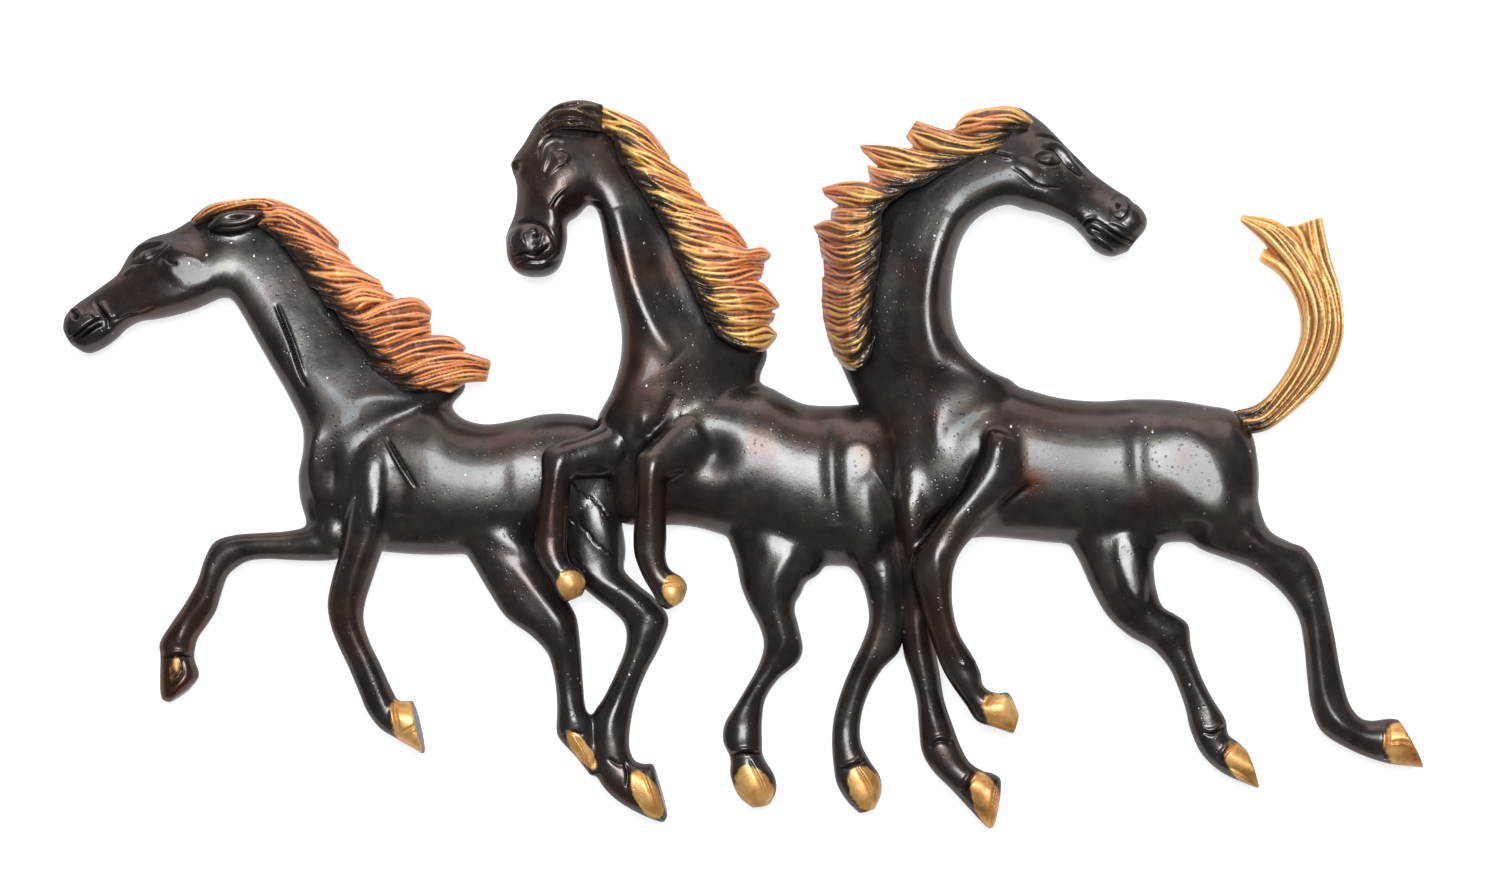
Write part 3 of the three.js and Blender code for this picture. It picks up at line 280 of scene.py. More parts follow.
# Locks of hair: upper edge and lower edge (x, z, x, z, ... from root to tip), stand off the wall
# at the root, middle and tip, half thickness in the middle, number of flutes, and darkness.
LOCKS = {
    "left": [
        ([-212, 93.5, -205, 98.8, -194, 101, -182, 101.6, -172, 98.5],
         [-210.5, 90.6, -203, 94.2, -193, 97.6, -186, 98, -175, 92.5], (15, 18, 17), 4.5, 3, 0.3),
        ([-187, 98, -177, 99.5, -166, 95.2, -155, 85.5], [-184, 91, -175, 89.5, -166, 84.5, -156, 79],
         (19, 20, 15), 6, 6, 0.3),
        ([-183, 92, -172, 91, -162, 87, -151.3, 79.3], [-177, 83.5, -168, 81.5, -160, 78, -149.5, 75],
         (20, 21, 15), 6, 6, 0.3),
        ([-178, 86, -167, 84, -156, 80, -146.2, 74.3], [-170, 75, -162, 74, -153, 72.5, -143.5, 71],
         (20, 21, 15), 6, 6, 0.3),
        ([-171, 78, -161, 76.5, -151, 76, -139.5, 70.3], [-166, 67.5, -157, 65, -148, 65.5, -137.5, 66],
         (20, 22, 15), 6, 6, 0.3),
        ([-165, 70, -156, 66.5, -146, 69, -134.5, 65], [-160, 60, -151, 57.5, -142, 60, -132.5, 60.5],
         (20, 22, 15), 6, 6, 0.3),
        ([-158, 61.5, -148, 57.5, -137, 62, -125, 63.4, -119.6, 59],
         [-153, 52, -145, 49.5, -134, 51.5, -125, 52.5, -120.2, 54.5], (20, 22, 13), 6.5, 7, 0.3),
        ([-152, 54, -143, 50, -132, 54, -120, 54], [-147, 45, -140, 42.5, -130, 44.5, -119.8, 49],
         (20, 22, 14), 6, 5, 0.3),
        ([-147, 47, -138, 44, -126, 48.5, -112, 48.6, -106.6, 45],
         [-141, 38, -133, 35.5, -123, 39, -113, 41.5, -107, 43], (20, 22, 13), 6.5, 6, 0.3),
        ([-147, 41, -136, 37.5, -122, 42.5, -108, 42.8, -97, 39.6],
         [-138, 33, -128, 31, -117, 34, -107, 36.5, -97.3, 36], (20, 21, 13), 6.5, 6, 0.3),
        ([-140, 35.5, -129, 32, -116, 35, -107, 37, -97.6, 36.4],
         [-131, 28, -121, 27.5, -112, 29.8, -105, 31, -98.6, 31.3], (20, 20, 13), 6.5, 6, 0.3),
    ],
    "middle": [
        ([-54, 137.5, -62, 139.2, -71, 137.7, -79, 131.4], [-55, 127, -63, 128, -70, 128, -76, 125.5],
         (27, 29, 25), 4.5, 6, 0.85),
        ([-56, 137.5, -46, 133.8, -37.5, 129.2, -28.5, 118], [-52, 125, -44, 123, -36, 118, -27.5, 113],
         (26, 24, 17), 6.5, 7),
        ([-52, 130, -43, 126, -34, 119.5, -21.5, 110.7], [-47, 114, -39, 112, -31, 109, -19.5, 105],
         (27, 25, 17), 6.5, 7),
        ([-48, 118.5, -39, 116, -29, 111, -16.8, 103.8], [-41, 106, -33, 104, -25, 101, -13.5, 98],
         (27, 25, 16), 6.5, 6),
        ([-42, 109, -33, 107, -23, 102.5, -10, 97], [-35.5, 98, -28, 96, -20, 94, -6.5, 92],
         (27, 25, 16), 6.5, 6),
        ([-36, 101, -27, 98.5, -17, 95.5, -5, 92, 1, 84.5], [-30, 89, -23, 87.5, -14, 86, -5, 84, 2, 80],
         (27, 25, 15), 6.5, 7),
        ([-30, 91, -21, 89, -10, 87, 1.5, 82.2, 7, 83, 10.6, 80.2],
         [-26, 79, -19, 75.5, -9, 74, 1, 75.8, 6.5, 76.2, 10, 78.5], (27, 26, 14), 7, 8),
        ([-27, 82, -19, 77.5, -9, 76, 1, 77, 8, 76], [-21, 70, -14, 67.5, -4, 67.5, 3, 69, 6.5, 70.5],
         (27, 26, 15), 6.5, 6),
        ([-22, 73, -14, 69, -4, 69.5, 6.5, 69.5, 13.9, 60.9],
         [-17, 61, -10, 57.5, 0, 57, 8, 57.5, 13.2, 59.5], (27, 26, 13), 7, 7),
        ([-17, 63, -9, 59, 1, 58.5, 8, 58.5, 12.2, 57.5], [-14, 54, -7, 52, 1, 51.8, 7, 52.5, 11, 54],
         (26, 25, 14), 6.5, 5),
        ([-14, 56, -7, 53, 1, 52.8, 8, 54, 12.9, 49.6],
         [-10, 49, -4, 44.8, 2, 42.8, 8, 43.2, 12.2, 47.5], (25, 23, 13), 6.5, 6),
    ],
    "right": [
        ([111, 131, 104, 136.3, 92, 135.9, 85, 134, 81, 130],
         [108, 127.5, 100, 126, 91, 125.5, 84, 125.5, 80.5, 127], (24, 24, 19), 6, 5, 0.34),
        ([103, 128, 90, 125, 80, 127, 72, 129.3, 66, 131.5],
         [98, 118.5, 86, 116.5, 74, 117.5, 66, 120.5, 61.8, 125], (25, 25, 16), 6.5, 7, 0.34),
        ([92, 118.5, 80, 118, 68, 119.5, 56, 121.6, 44, 122.1],
         [80, 112, 70, 109.5, 60, 110.5, 52, 113.5, 45.5, 119], (26, 25, 14), 6.5, 7, 0.34),
        ([80, 114, 70, 111, 60, 112, 52, 113, 47, 114.5],
         [68, 106, 60, 104, 53, 105, 49, 107, 47.8, 110], (27, 25, 15), 6.5, 6, 0.34),
        ([66, 107, 57, 105.5, 48, 107.5, 39, 108, 29.5, 105.6],
         [58, 101, 51, 97.5, 44, 96.5, 37, 98.5, 30.8, 102.5], (27, 25, 14), 6.5, 7, 0.34),
        ([58, 103, 50, 98.5, 43, 98, 37, 98.5, 33.5, 97.5],
         [53, 96, 47, 91.5, 41, 90.5, 36, 91.5, 33, 93.5], (28, 26, 15), 6, 6, 0.44),
        ([53, 97.5, 46, 93, 39, 92.3, 32, 93.2, 26.3, 91], [52, 89, 46, 84, 39, 82, 33, 83.5, 27.7, 88],
         (28, 26, 14), 6.5, 7, 0.44),
        ([53, 91, 46, 86, 39, 84, 33, 84.5, 28.3, 87], [52, 83, 46, 77, 40, 75, 34, 75.5, 29.6, 79],
         (28, 26, 15), 6, 6, 0.44),
        ([53, 85, 46, 79, 38, 76.5, 30.2, 79.5], [51, 75, 45, 69, 38, 67, 30.8, 70],
         (28, 26, 14), 6, 6, 0.44),
        ([52, 77, 45, 71, 37, 68.5, 29.8, 71.5], [49.5, 67.5, 44, 61, 37, 59, 30, 61],
         (28, 26, 14), 6, 6, 0.44),
        ([51, 70, 44, 64, 37, 61.5, 29.5, 63.5], [48, 60, 43, 54, 37, 52, 30.5, 54],
         (27, 25, 14), 6, 6, 0.44),
        ([49.5, 63, 43, 57, 37, 54.5, 30, 56.5], [47.5, 53, 43, 47, 38, 45, 32.3, 47],
         (27, 25, 14), 6, 6, 0.44),
        ([49, 56, 43, 50, 38, 47.5, 31.6, 49.5], [48, 46, 44, 40.5, 39.5, 39, 34.5, 41],
         (26, 24, 14), 6, 6, 0.44),
        ([50.5, 49, 45, 43, 39, 41, 33.8, 43.5], [48, 39.5, 45, 36, 41, 35.6, 36.8, 38],
         (24, 22, 15), 5.5, 5, 0.44),
    ],
    "tail": [
        ([187, 20, 196, 22.5, 203.5, 29.5, 209.5, 39, 213.2, 50, 211.5, 62, 205, 72, 197, 77.6],
         [188.5, 14, 198, 17, 206, 26.5, 213.5, 38, 217.5, 52, 216, 65, 209, 76.5, 199, 82.5],
         (10, 12, 11), 5.5, 4),
        ([188, 18, 197, 19.5, 205, 28, 211.5, 40, 215, 52, 213.5, 62, 208.5, 72, 202.5, 80, 197.5, 86,
          190, 92.7],
         [190, 11.5, 200, 13.2, 210, 23, 219, 36, 223.5, 50, 223, 62, 219, 75, 212.5, 86, 204, 92.8,
          190.5, 95.3],
         (11, 13.5, 10), 6.5, 6),
        ([189, 15, 199, 16.5, 208, 25, 217, 38, 220.5, 52, 218.5, 65, 214, 77, 212.8, 91.8],
         [190.5, 10.8, 200, 12.6, 211, 20.5, 223.2, 33, 229.4, 49, 228.6, 65, 224.6, 79, 221.3, 94.4],
         (10, 12, 10), 6, 5),
        ([215, 50, 215.5, 62, 213, 73, 207.5, 83, 203, 90.3],
         [222, 50, 223.5, 62, 221, 74, 217, 84, 213.5, 91.2], (6, 12, 9), 6, 4),
    ],
}

# Chased strokes: kind, width, height, then x, z, x, z, ... `chase` says how each is read.
BROAD_STROKES = {
    "left": [
        ("plane", 6.5, 0.3, -214, 73.5, -203, 70),
        ("plane", 4, 0.3, -141.5, -13, -142, -25),
        ("mound", 5, -2.0, -157.5, -2, -157.5, 12),
        ("line", 2.0, 0.8, -162.5, 15, -165.5, 3, -165.5, -7, -163, -15),
        ("line", 3.2, 0.7, -150, 23, -143, 25.5, -133, 25, -125, 22.5, -118, 17),
        ("line", 4.0, -0.5, -147, 16.5, -138, 18, -128, 15.5, -121, 10),
        ("line", 3.5, -0.8, -131, -1, -130.5, -10, -131.5, -20),
        ("line", 3.0, 1.0, -142, -5, -140.5, -15, -144, -28, -149, -42, -151.5, -55, -149.5, -66,
         -145, -75, -139, -90, -136, -97),
        ("line", 4.5, -0.6, -88, -18, -87.5, -6, -88, 10),
        ("line", 2.8, 0.9, -88, -39, -79, -50, -71, -61, -68.5, -75, -67.5, -90, -64.5, -100),
        ("line", 3.0, 0.8, -64, -38, -56, -45, -46, -50, -37, -58),
        ("line", 2.4, 0.7, -38, -62, -43, -78, -47, -88, -51, -98, -52, -106),
        ("line", 2.4, 0.6, -205, -38, -206, -50, -215, -62, -216.5, -70),
    ],
    "middle": [
        ("line", 4.2, 1.8, -50, 98, -46.5, 85, -43, 70, -37, 55, -31, 46, -26, 41),
        ("line", 5.5, -1.0, -36, 96, -32, 78, -25, 62, -17, 50),
        ("mound", 4.5, 1.6, -44.5, 9, -46, 15),
        ("mound", 2.6, 1.0, -38.5, 15, -38, 19),
        ("line", 2.4, -0.8, -27, 27, -29.5, 20, -32, 15, -36, 9.5),
        ("mound", 10, -3.2, -13, 4, -12, 13.5),
        ("line", 2.6, -1.0, -63, -3, -57, -1.5, -50, -3),
        ("plane", 8.5, 0.3, 44, 2.5, 43.5, 12),
        ("line", 3.6, -1.3, 33, 17, 33.5, 5, 34, -8, 36, -24),
        ("line", 3.2, 1.1, 20, -32, 13, -43, 12.5, -56, 15, -68, 11, -76, 3, -88, -4, -98),
        ("line", 2.6, 0.9, 54, -42, 53, -55, 49, -71, 44, -84, 40.5, -98),
        ("line", 2.4, 0.9, -69, 6, -72, -5, -74, -18, -74.5, -28),
        ("line", 2.4, 0.9, -33.5, 5, -35.5, -5, -36, -18, -35.5, -30),
    ],
    "right": [
        ("line", 4.0, 1.6, 80, 96, 75.5, 84, 71.5, 70, 70.5, 57, 72, 45, 75.5, 35),
        ("line", 5.5, -0.8, 62, 84, 59, 70, 58, 55, 60, 38),
        ("mound", 5.0, 1.3, 74, 11, 74.5, 20),
        ("mound", 5.0, 1.7, 97.5, 6, 98.5, 13),
        ("line", 2.0, -1.4, 91.5, 11, 90.5, 5, 86, -3, 82, -11, 76, -18.5, 69, -27, 65, -34),
        ("line", 1.8, -1.0, 109.5, -8, 103, -13, 97, -17.5, 91, -22.5),
        ("line", 4.0, -1.0, 149, 18, 150.5, 6, 151.5, -6, 157, -18),
        ("plane", 16, 0.7, 174, -4, 187, -29),
        ("plane", 5.5, 0.3, 148.5, -43, 152, -58),
        ("line", 4.2, 0.8, 146, -30, 147, -42, 150, -52, 157, -61, 166, -67),
        ("line", 2.4, 0.8, 168, -71, 171, -80, 176, -90, 181, -97),
        ("line", 4.0, 1.0, 186, -20, 195, -28, 204, -36, 214, -43),
        ("line", 2.6, 1.0, 217, -50, 219, -65, 220.5, -80, 223, -92, 229, -100, 237, -104.3, 245, -106),
        ("line", 2.5, 0.9, 73.5, -31, 75, -45, 77, -58, 81, -70, 85, -78),
        ("line", 2.3, 0.8, 65.5, -54, 66.5, -68, 69, -84, 71.5, -96, 74, -104),
        ("line", 3.0, 0.7, 62, -12, 64, -25, 64.5, -38),
    ],
}
# Where the file marks on the left horse's rump begin.
COMB = [(-66.5 + 2.3 * (i % 7) + 0.9 * math.sin(5 * i), -6 - 2.1 * i) for i in range(15)]
FINE_STROKES = {
    "left": [
        ("mound", 1.7, 0.6, -229.5, 79.4, -228, 80.4),
        ("line", 0.5, -0.7, -234, 76.5, -230, 77, -226.5, 79, -223, 81.5, -220.3, 84.3),
        ("line", 0.5, -0.5, -233.5, 78.5, -231, 81.6, -227, 83, -223, 83.8),
        ("line", 0.7, 0.5, -234.5, 79.5, -231.5, 83, -226.5, 84.6, -221, 85.2),
        ("line", 0.6, 0.5, -231, 75.6, -227, 77.3, -223.5, 79.8, -220.5, 82.8),
        ("line", 0.7, -0.6, -222.3, 79.3, -220, 77, -217, 76.5),
        ("line", 0.6, 0.6, -237.8, 72.3, -235.5, 73.8, -233, 75.6),
        ("line", 0.8, -0.7, -241.5, 54.8, -236, 57, -231, 57.4, -226, 60),
        ("line", 0.7, 0.6, -240, 56, -236, 58, -231, 58.4),
        ("line", 0.9, -1.1, -248.3, 62, -246.3, 58.5, -244, 55.5, -243.2, 51.5),
        ("line", 1.0, 0.9, -246.2, 61.8, -244, 58.2, -241.8, 55.5),
        ("line", 0.6, -1.3, -258.6, 47.8, -255, 50, -251, 53.3, -246.8, 55.8),
        ("line", 0.6, 0.7, -254, 49.3, -250.5, 52, -246.8, 54.4),
        ("line", 0.6, -1.1, -256, 47.2, -252.5, 49.3, -249, 51.6, -246.3, 53.3),
        ("line", 0.6, 0.6, -253, 47.8, -249.5, 50.2, -247, 52),
        ("mound", 1.4, -1.5, -256.2, 56.6, -254.8, 55.4),
        ("line", 0.6, 0.7, -258.2, 55.5, -257.5, 58.6, -255, 58.8, -253.4, 56),
        ("line", 0.7, 0.5, -253.2, 56.5, -250, 57.2, -247.5, 55.8),
        ("mound", 1.5, -1.8, -194.5, 94.4, -189.8, 95),
        ("line", 0.7, -1.0, -203.5, 88.5, -201, 90.2, -197, 90.1, -190, 91.2, -185, 93.8, -182, 96.6),
        ("line", 0.6, 0.5, -202, 88.3, -197, 88, -192, 88.8, -188, 90.6),
        ("line", 0.6, -1.1, -179.5, 60.5, -176, 52, -173, 44, -169.5, 33, -167.5, 29.5),
        ("line", 0.6, 0.6, -178.2, 60.5, -174.7, 52, -171.7, 44, -168.2, 33.5),
        ("line", 0.6, -1.1, -136.5, 9.5, -131, 0, -125.5, -9),
        ("line", 0.6, 0.6, -137.6, 9, -132.2, -0.5, -126.8, -9),
        ("line", 0.6, -0.8, -134, -91.8, -133.3, -97, -132, -103.5),
        ("line", 0.8, 0.5, -135.4, -92.5, -134.8, -97, -133.5, -103),
        ("line", 0.6, -0.5, -131.5, -103.2, -127.5, -101.2, -124.2, -99),
        ("line", 0.6, -0.9, -222, -74.6, -217, -73.7, -211.5, -73.9),
        ("line", 0.7, 0.5, -222.3, -72.8, -217, -71.9, -211.5, -72.1),
        ("fold", 1.0, -0.7, -215.5, -75, -215.2, -80, -220, -86),
        ("line", 0.7, -0.7, -70.5, -105, -66, -103.2, -61.5, -104),
        ("fold", 1.0, 0.6, -58.5, -117, -62, -109, -65, -104.5),
        ("line", 0.8, -1.0, -46, -113.8, -44.6, -118, -45, -124),
        ("line", 0.8, -0.7, -52, -113, -49, -115, -46.5, -116),
        ("fold", 1.1, 0.7, -38.5, -117.5, -36, -124, -33, -133),
    ] + [("line", 0.45, -0.35, x, z, x + 3, z - 3.4) for x, z in COMB],
    "middle": [
        ("line", 0.6, -1.0, -78.7, 118.5, -78.3, 121.6, -76.8, 124, -73.5, 126),
        ("line", 0.9, 0.6, -78, 115.5, -77.5, 119.5, -76, 122.3, -73, 124, -69, 123.8),
        ("line", 0.7, 0.9, -74, 120, -75.4, 116, -77.2, 111.3),
        ("line", 0.5, -0.5, -72.4, 119.4, -69.5, 120, -66.8, 117.5, -68.3, 114.4, -71.6, 113.2),
        ("mound", 2.0, 0.5, -71, 116, -69.6, 117.8),
        ("line", 0.6, 0.6, -75.2, 110.4, -71.5, 113.6, -67.3, 115.3),
        ("mound", 1.6, -1.2, -87.6, 113.3, -86.8, 116),
        ("line", 0.7, 0.9, -86, 116.6, -88.4, 115, -89.2, 112.6, -88, 110.2),
        ("line", 0.5, 0.6, -74.7, 97.6, -72, 102, -69.7, 104.4, -67.2, 106.2),
        ("line", 0.6, -0.5, -73.4, 97.4, -70.8, 101.6, -68.6, 103.6),
        ("line", 0.7, -0.9, -90.3, 88.5, -87, 91.6, -82, 92.9, -77, 91, -73.8, 87, -71.6, 82),
        ("mound", 0.9, -1.3, -79.9, 87.2, -79.5, 88),
        ("line", 0.6, 0.8, -81.8, 89.8, -79.8, 90, -78.1, 88.3, -78.6, 85.6, -80.6, 84.2),
        ("line", 0.6, 0.8, -84, 89, -84.8, 86.5, -83.6, 83.2),
        ("line", 0.6, 0.6, -88, 87.5, -88.6, 85.2, -88.2, 83),
        ("line", 0.6, -1.2, -88.6, 79, -84, 80.6, -80, 80, -77.6, 81, -75, 83.6),
        ("line", 0.6, 0.9, -80.2, 81.6, -78.4, 83, -77, 84.2),
        ("line", 0.6, 0.8, -79.7, 78.4, -77.8, 79.8, -75.7, 82),
        ("line", 0.7, -1.1, -87.4, 76, -82, 77.2, -77.5, 77.3, -74, 79.2, -71, 82.2),
        ("line", 0.6, -0.7, -61, 100.6, -58, 100.3, -54.8, 100),
        ("line", 0.6, 0.5, -60, 99, -57, 98.6, -54.5, 97.2),
        ("line", 0.6, -0.8, -5, -111.8, 0, -111, 6, -111.2),
        ("line", 0.8, 0.6, -5.5, -110, 0, -109.3, 6, -109.5),
        ("fold", 1.1, 0.6, 2.5, -113.5, 6.5, -121, 9.5, -128.5),
        ("line", 0.6, -0.8, 36.5, -116.9, 41, -116.2, 46.2, -113.7),
        ("line", 0.8, 0.6, 36.5, -115.2, 41, -114.4, 45.5, -112),
        ("fold", 1.1, 0.6, 43.5, -115.8, 48, -123, 50.8, -130.5),
        ("line", 0.7, -0.5, -70, -42.6, -66.5, -41.2, -63.3, -42),
        ("line", 0.7, -0.5, -32.5, -47.6, -29, -46.2, -24.5, -46.4),
    ],
    "right": [
        ("line", 0.6, -0.9, 112.5, 125.4, 117.5, 125, 121.8, 122.6, 125, 119.5, 128, 115.8,
         131.5, 112.4, 134.5, 110.2),
        ("line", 0.9, 1.0, 116, 123, 120, 121.8, 123, 118.8, 125.3, 115.4, 129.3, 111.6),
        ("line", 0.7, -1.3, 115, 120.8, 118.5, 120.2, 121.3, 117.8, 123.4, 115, 126.7, 112,
         129.8, 109.8),
        ("mound", 1.9, 0.9, 117.6, 117, 119.6, 116.4),
        ("line", 0.5, -0.9, 112.4, 116, 115.5, 115, 119, 114.6, 121.6, 115.6),
        ("line", 0.6, 0.6, 110.6, 117.6, 113.5, 119.2, 116.5, 119.3, 119.4, 118.2),
        ("line", 0.6, 0.5, 113, 113.9, 117.5, 113, 121.5, 114),
        ("mound", 3.4, 0.7, 120.5, 111.5, 123, 109.8),
        ("line", 0.55, -0.8, 103, 113.2, 106, 111.4, 108.5, 109.2, 111.2, 107.2, 114.5, 106.1,
         118, 105.9, 122, 105.6),
        ("mound", 2.6, 1.1, 143.8, 97.8, 144.4, 101),
        ("line", 0.5, -0.6, 141, 100.5, 143.3, 102.6, 146.2, 101, 147.5, 98, 146.3, 94.6, 143.8, 93.2,
         141, 94.6, 140, 97.6),
        ("mound", 1.1, -1.5, 143.2, 98.4, 143.6, 99.8),
        ("line", 0.6, 0.7, 146.3, 102.4, 148.4, 99.6, 148.7, 96.5),
        ("line", 0.6, 0.7, 127.6, 90.3, 129.6, 92.6, 132, 94, 134.8, 94.1),
        ("line", 0.6, -0.8, 128.6, 89.6, 130.6, 91.7, 133, 92.8, 135.5, 92.6),
        ("line", 0.6, -1.2, 135, 93, 138, 90.8, 141.2, 88.6, 145, 86.4, 149.5, 84.8),
        ("line", 0.6, 0.8, 137.6, 90, 140.4, 88, 143.8, 85.9),
        ("line", 0.7, -1.4, 132.6, 90.2, 136, 88.2, 140, 85.7, 144, 83.8, 149, 82.3),
        ("line", 0.7, 0.9, 131, 88.6, 134.5, 87.2, 138.5, 84.9, 142.6, 82.4),
        ("line", 0.6, -0.8, 131.5, 86.6, 135, 85.2, 138.8, 83, 141.8, 81),
        ("line", 0.7, 0.6, 139.5, 92.7, 143, 91.6, 147.5, 89.4),
        ("line", 0.6, -0.6, 94.5, 119.4, 98.5, 118.7, 102.8, 117.8),
        ("line", 0.6, 0.5, 96.5, 117.9, 99.5, 117, 102.5, 116.6),
        ("line", 0.6, -0.9, 93, -93, 95.3, -90.4, 98.6, -87.6),
        ("line", 0.8, 0.5, 91.5, -92, 94, -89, 97, -86.4),
        ("mound", 1.6, 0.7, 84.5, -77),
        ("mound", 1.6, 0.6, 88.5, -75.5),
        ("line", 0.8, -0.9, 71, -109, 74.5, -106.4, 79.5, -107.2),
        ("line", 0.9, 0.5, 71, -107.4, 74.5, -104.8, 79.5, -105.4),
        ("line", 0.6, -0.9, 84.5, -126.3, 86, -123, 88.6, -119.8),
        ("line", 0.9, 0.6, 83, -125, 84.5, -121.6, 87, -118.6),
        ("fold", 1.0, 0.7, 97, -121, 95.6, -130, 93.6, -138.5),
        ("line", 0.7, -0.8, 175.5, -103, 179.5, -103.7, 184.5, -100.8),
        ("line", 0.8, 0.6, 175, -101.4, 179, -102, 184, -99),
        ("line", 0.6, -0.9, 182.6, -114.4, 185, -110.6, 188.6, -107.8),
        ("line", 0.8, 0.6, 181.4, -113.2, 183.8, -109.3, 187, -106.6),
        ("fold", 1.0, -0.6, 185.5, -116.5, 191, -119.5, 196.5, -123.5),
        ("line", 0.6, -0.8, 246.5, -98.6, 247, -105, 246, -112.5),
        ("line", 0.9, 0.5, 245, -99, 245.4, -105, 244.5, -112),
        ("fold", 1.0, -0.6, 248, -107.4, 253, -107, 257, -109),
    ],
}
# The bead of braze between the middle horse's quarter and the right horse's chest.
BEAD = ("line", 1.0, 0.9, 50, -3, 53, -8, 56, -14, 57.5, -22, 59, -30, 60, -38, 60.8, -48, 61, -58,
        60.5, -68)
for chased in ("middle", "right"):
    FINE_STROKES[chased].append(BEAD)

# Where the patina has worn off each hoof: (x, z, half length, half width, tilt, strength).
HOOVES = {
    "left_near_foreleg": (-128, -100.6, 11.5, 6.2, -66, 1.0),
    "left_far_foreleg": (-218, -79.5, 6, 2.6, -95, 0.5),
    "left_near_hindleg": (-62.3, -109.5, 9, 3, -52, 0.9),
    "left_far_hindleg": (-37.2, -127, 10, 4.6, -62, 1.0),
    "middle_far_foreleg": (-65, -47, 7, 5.5, -35, 0.9),
    "middle_near_foreleg": (-26, -49, 6.5, 5.2, -60, 0.85),
    "middle_near_hindleg": (3.8, -124.5, 9.3, 6.9, -58, 0.85),
    "middle_far_hindleg": (47, -124.8, 9.5, 6.4, -60, 0.9),
    "right_far_foreleg": (93, -129.5, 11.5, 5.2, -72, 1.0),
    "right_near_foreleg": (99.5, -96.3, 9.3, 6.6, -48, 0.95),
    "right_far_hindleg": (192.6, -115.8, 10.5, 6.2, -50, 0.9),
    "right_near_hindleg": (253.8, -108.2, 9.8, 8, -52, 1.0),
}
# Patches of red-brown patina: (x, z, radius, strength).
WARM = {
    "left": [(-215, -60, 16, 0.5), (-218, -84, 10, 0.9), (-150, -60, 14, 0.4)],
    "middle": [(-40, 33, 14, 0.7), (-44, 75, 10, 0.5), (-75, -20, 14, 0.6), (-36, -15, 14, 0.4)],
    "right": [(75, -60, 16, 0.5), (110, -8, 5, 0.9), (60, -30, 12, 0.4)],
}
# Hollows and flanks that no cloth has buffed, given like the warm patches.
# Patches made rougher, given like the warm patches, whose base colour is also darkened as painted shade
# on hollows and flanks.
ROUGH_AND_SHADED = {
    "left": [(-152, 21, 12, 0.9), (-138, 27, 10, 0.8), (-110, 4, 20, 0.4), (-160, 34, 9, 0.6),
             (-212, 73, 10, 0.5)],
    "middle": [(-41, 31, 11, 0.9), (-33, 40, 8, 0.6), (-14, 6, 8, 0.9)],
    "right": [(87, 17, 7, 0.9), (128, 3, 20, 0.55), (88, 36, 10, 0.5), (90, 108, 14, 1.0),
              (178, -8, 17, 0.4)],
}
# Golden share of the hair at its root line, and GILDING_REACH from it.
GILDING = {"left": (0.15, 0.1), "middle": (1.0, 0.15), "right": (0.9, 0.1), "tail": (0.8, 0.8)}
# Root lines of the hair, from end to end.
ROOTS = {
    "left": [(-210, 91), (-196, 92), (-184, 87), (-171, 79), (-168, 70.5), (-158.5, 58.5),
             (-150, 51), (-145.5, 43.5), (-138, 34), (-128, 28.5)],
    "middle": [(-77, 127), (-64, 128), (-52, 125), (-45, 112), (-35, 99), (-27, 80), (-17, 63),
               (-10, 50), (0, 43.5)],
    "right": [(108, 128), (95, 118), (80, 113), (66, 106), (56, 100), (52, 90), (51, 75),
              (49, 60), (48, 48), (46, 37)],
    "tail": [(186, 18), (187, 14), (190, 10)],
}


# ---------------------------------------------------------------- shapes

def pairs(numbers):
    """x, z, x, z, ... as points."""
    return np.array(numbers, float).reshape(-1, 2)


def through(points, t):
    """Points of the centripetal Catmull-Rom curve through `points`, at t counted in points."""
    p = np.asarray(points, float)
    p = np.vstack([2 * p[0] - p[1], p, 2 * p[-1] - p[-2]])
    i = np.clip(np.floor(t).astype(int), 0, len(p) - 4)
    f = (t - i)[:, None]
    p0, p1, p2, p3 = p[i], p[i + 1], p[i + 2], p[i + 3]
    d0, d1, d2 = (np.maximum(np.linalg.norm(b - a, axis=1), 1e-6)[:, None] ** 0.5
                  for a, b in ((p0, p1), (p1, p2), (p2, p3)))
    m1 = ((p1 - p0) / d0 - (p2 - p0) / (d0 + d1) + (p2 - p1) / d1) * d1
    m2 = ((p2 - p1) / d1 - (p3 - p1) / (d1 + d2) + (p3 - p2) / d2) * d1
    f2, f3 = f * f, f * f * f
    return ((2 * f3 - 3 * f2 + 1) * p1 + (f3 - 2 * f2 + f) * m1
            + (3 * f2 - 2 * f3) * p2 + (f3 - f2) * m2)


def seen(co):
    """Where points appear from the camera, in the plane y = FOCUS_Y: details are given there."""
    cx, cy, cz = CAMERA_AT
    share = (FOCUS_Y - cy) / (co[:, 1] - cy)
    return cx + (co[:, 0] - cx) * share, cz + (co[:, 2] - cz) * share


def stood(x, z, stand):
    """x, z and stand of the point that appears at (x, z) and stands off the wall by `stand`."""
    cx, cy, cz = CAMERA_AT
    share = (-stand - cy) / (FOCUS_Y - cy)
    return cx + (x - cx) * share, cz + (z - cz) * share, stand


def stood_rungs(rungs):
    """Drawn rungs with their ends moved to where they stand, all of seven numbers."""
    full = [rung if len(rung) == 7 else [*rung[:2], rung[4], *rung[2:]] for rung in rungs]
    return [[*stood(*rung[:3]), *stood(*rung[3:6]), rung[6]] for rung in full]


def signed_power(values, power):
    return np.sign(values) * np.abs(values) ** power


def tube_faces(rings, sides):
    """Quads between `rings` rings of `sides` points, and a polygon at each end."""
    k = np.arange(sides)
    after = (k + 1) % sides
    quads = [np.column_stack([i * sides + k, i * sides + after, (i + 1) * sides + after,
                              (i + 1) * sides + k]) for i in range(rings - 1)]
    return np.vstack(quads).tolist() + [k[::-1].tolist(), ((rings - 1) * sides + k).tolist()]


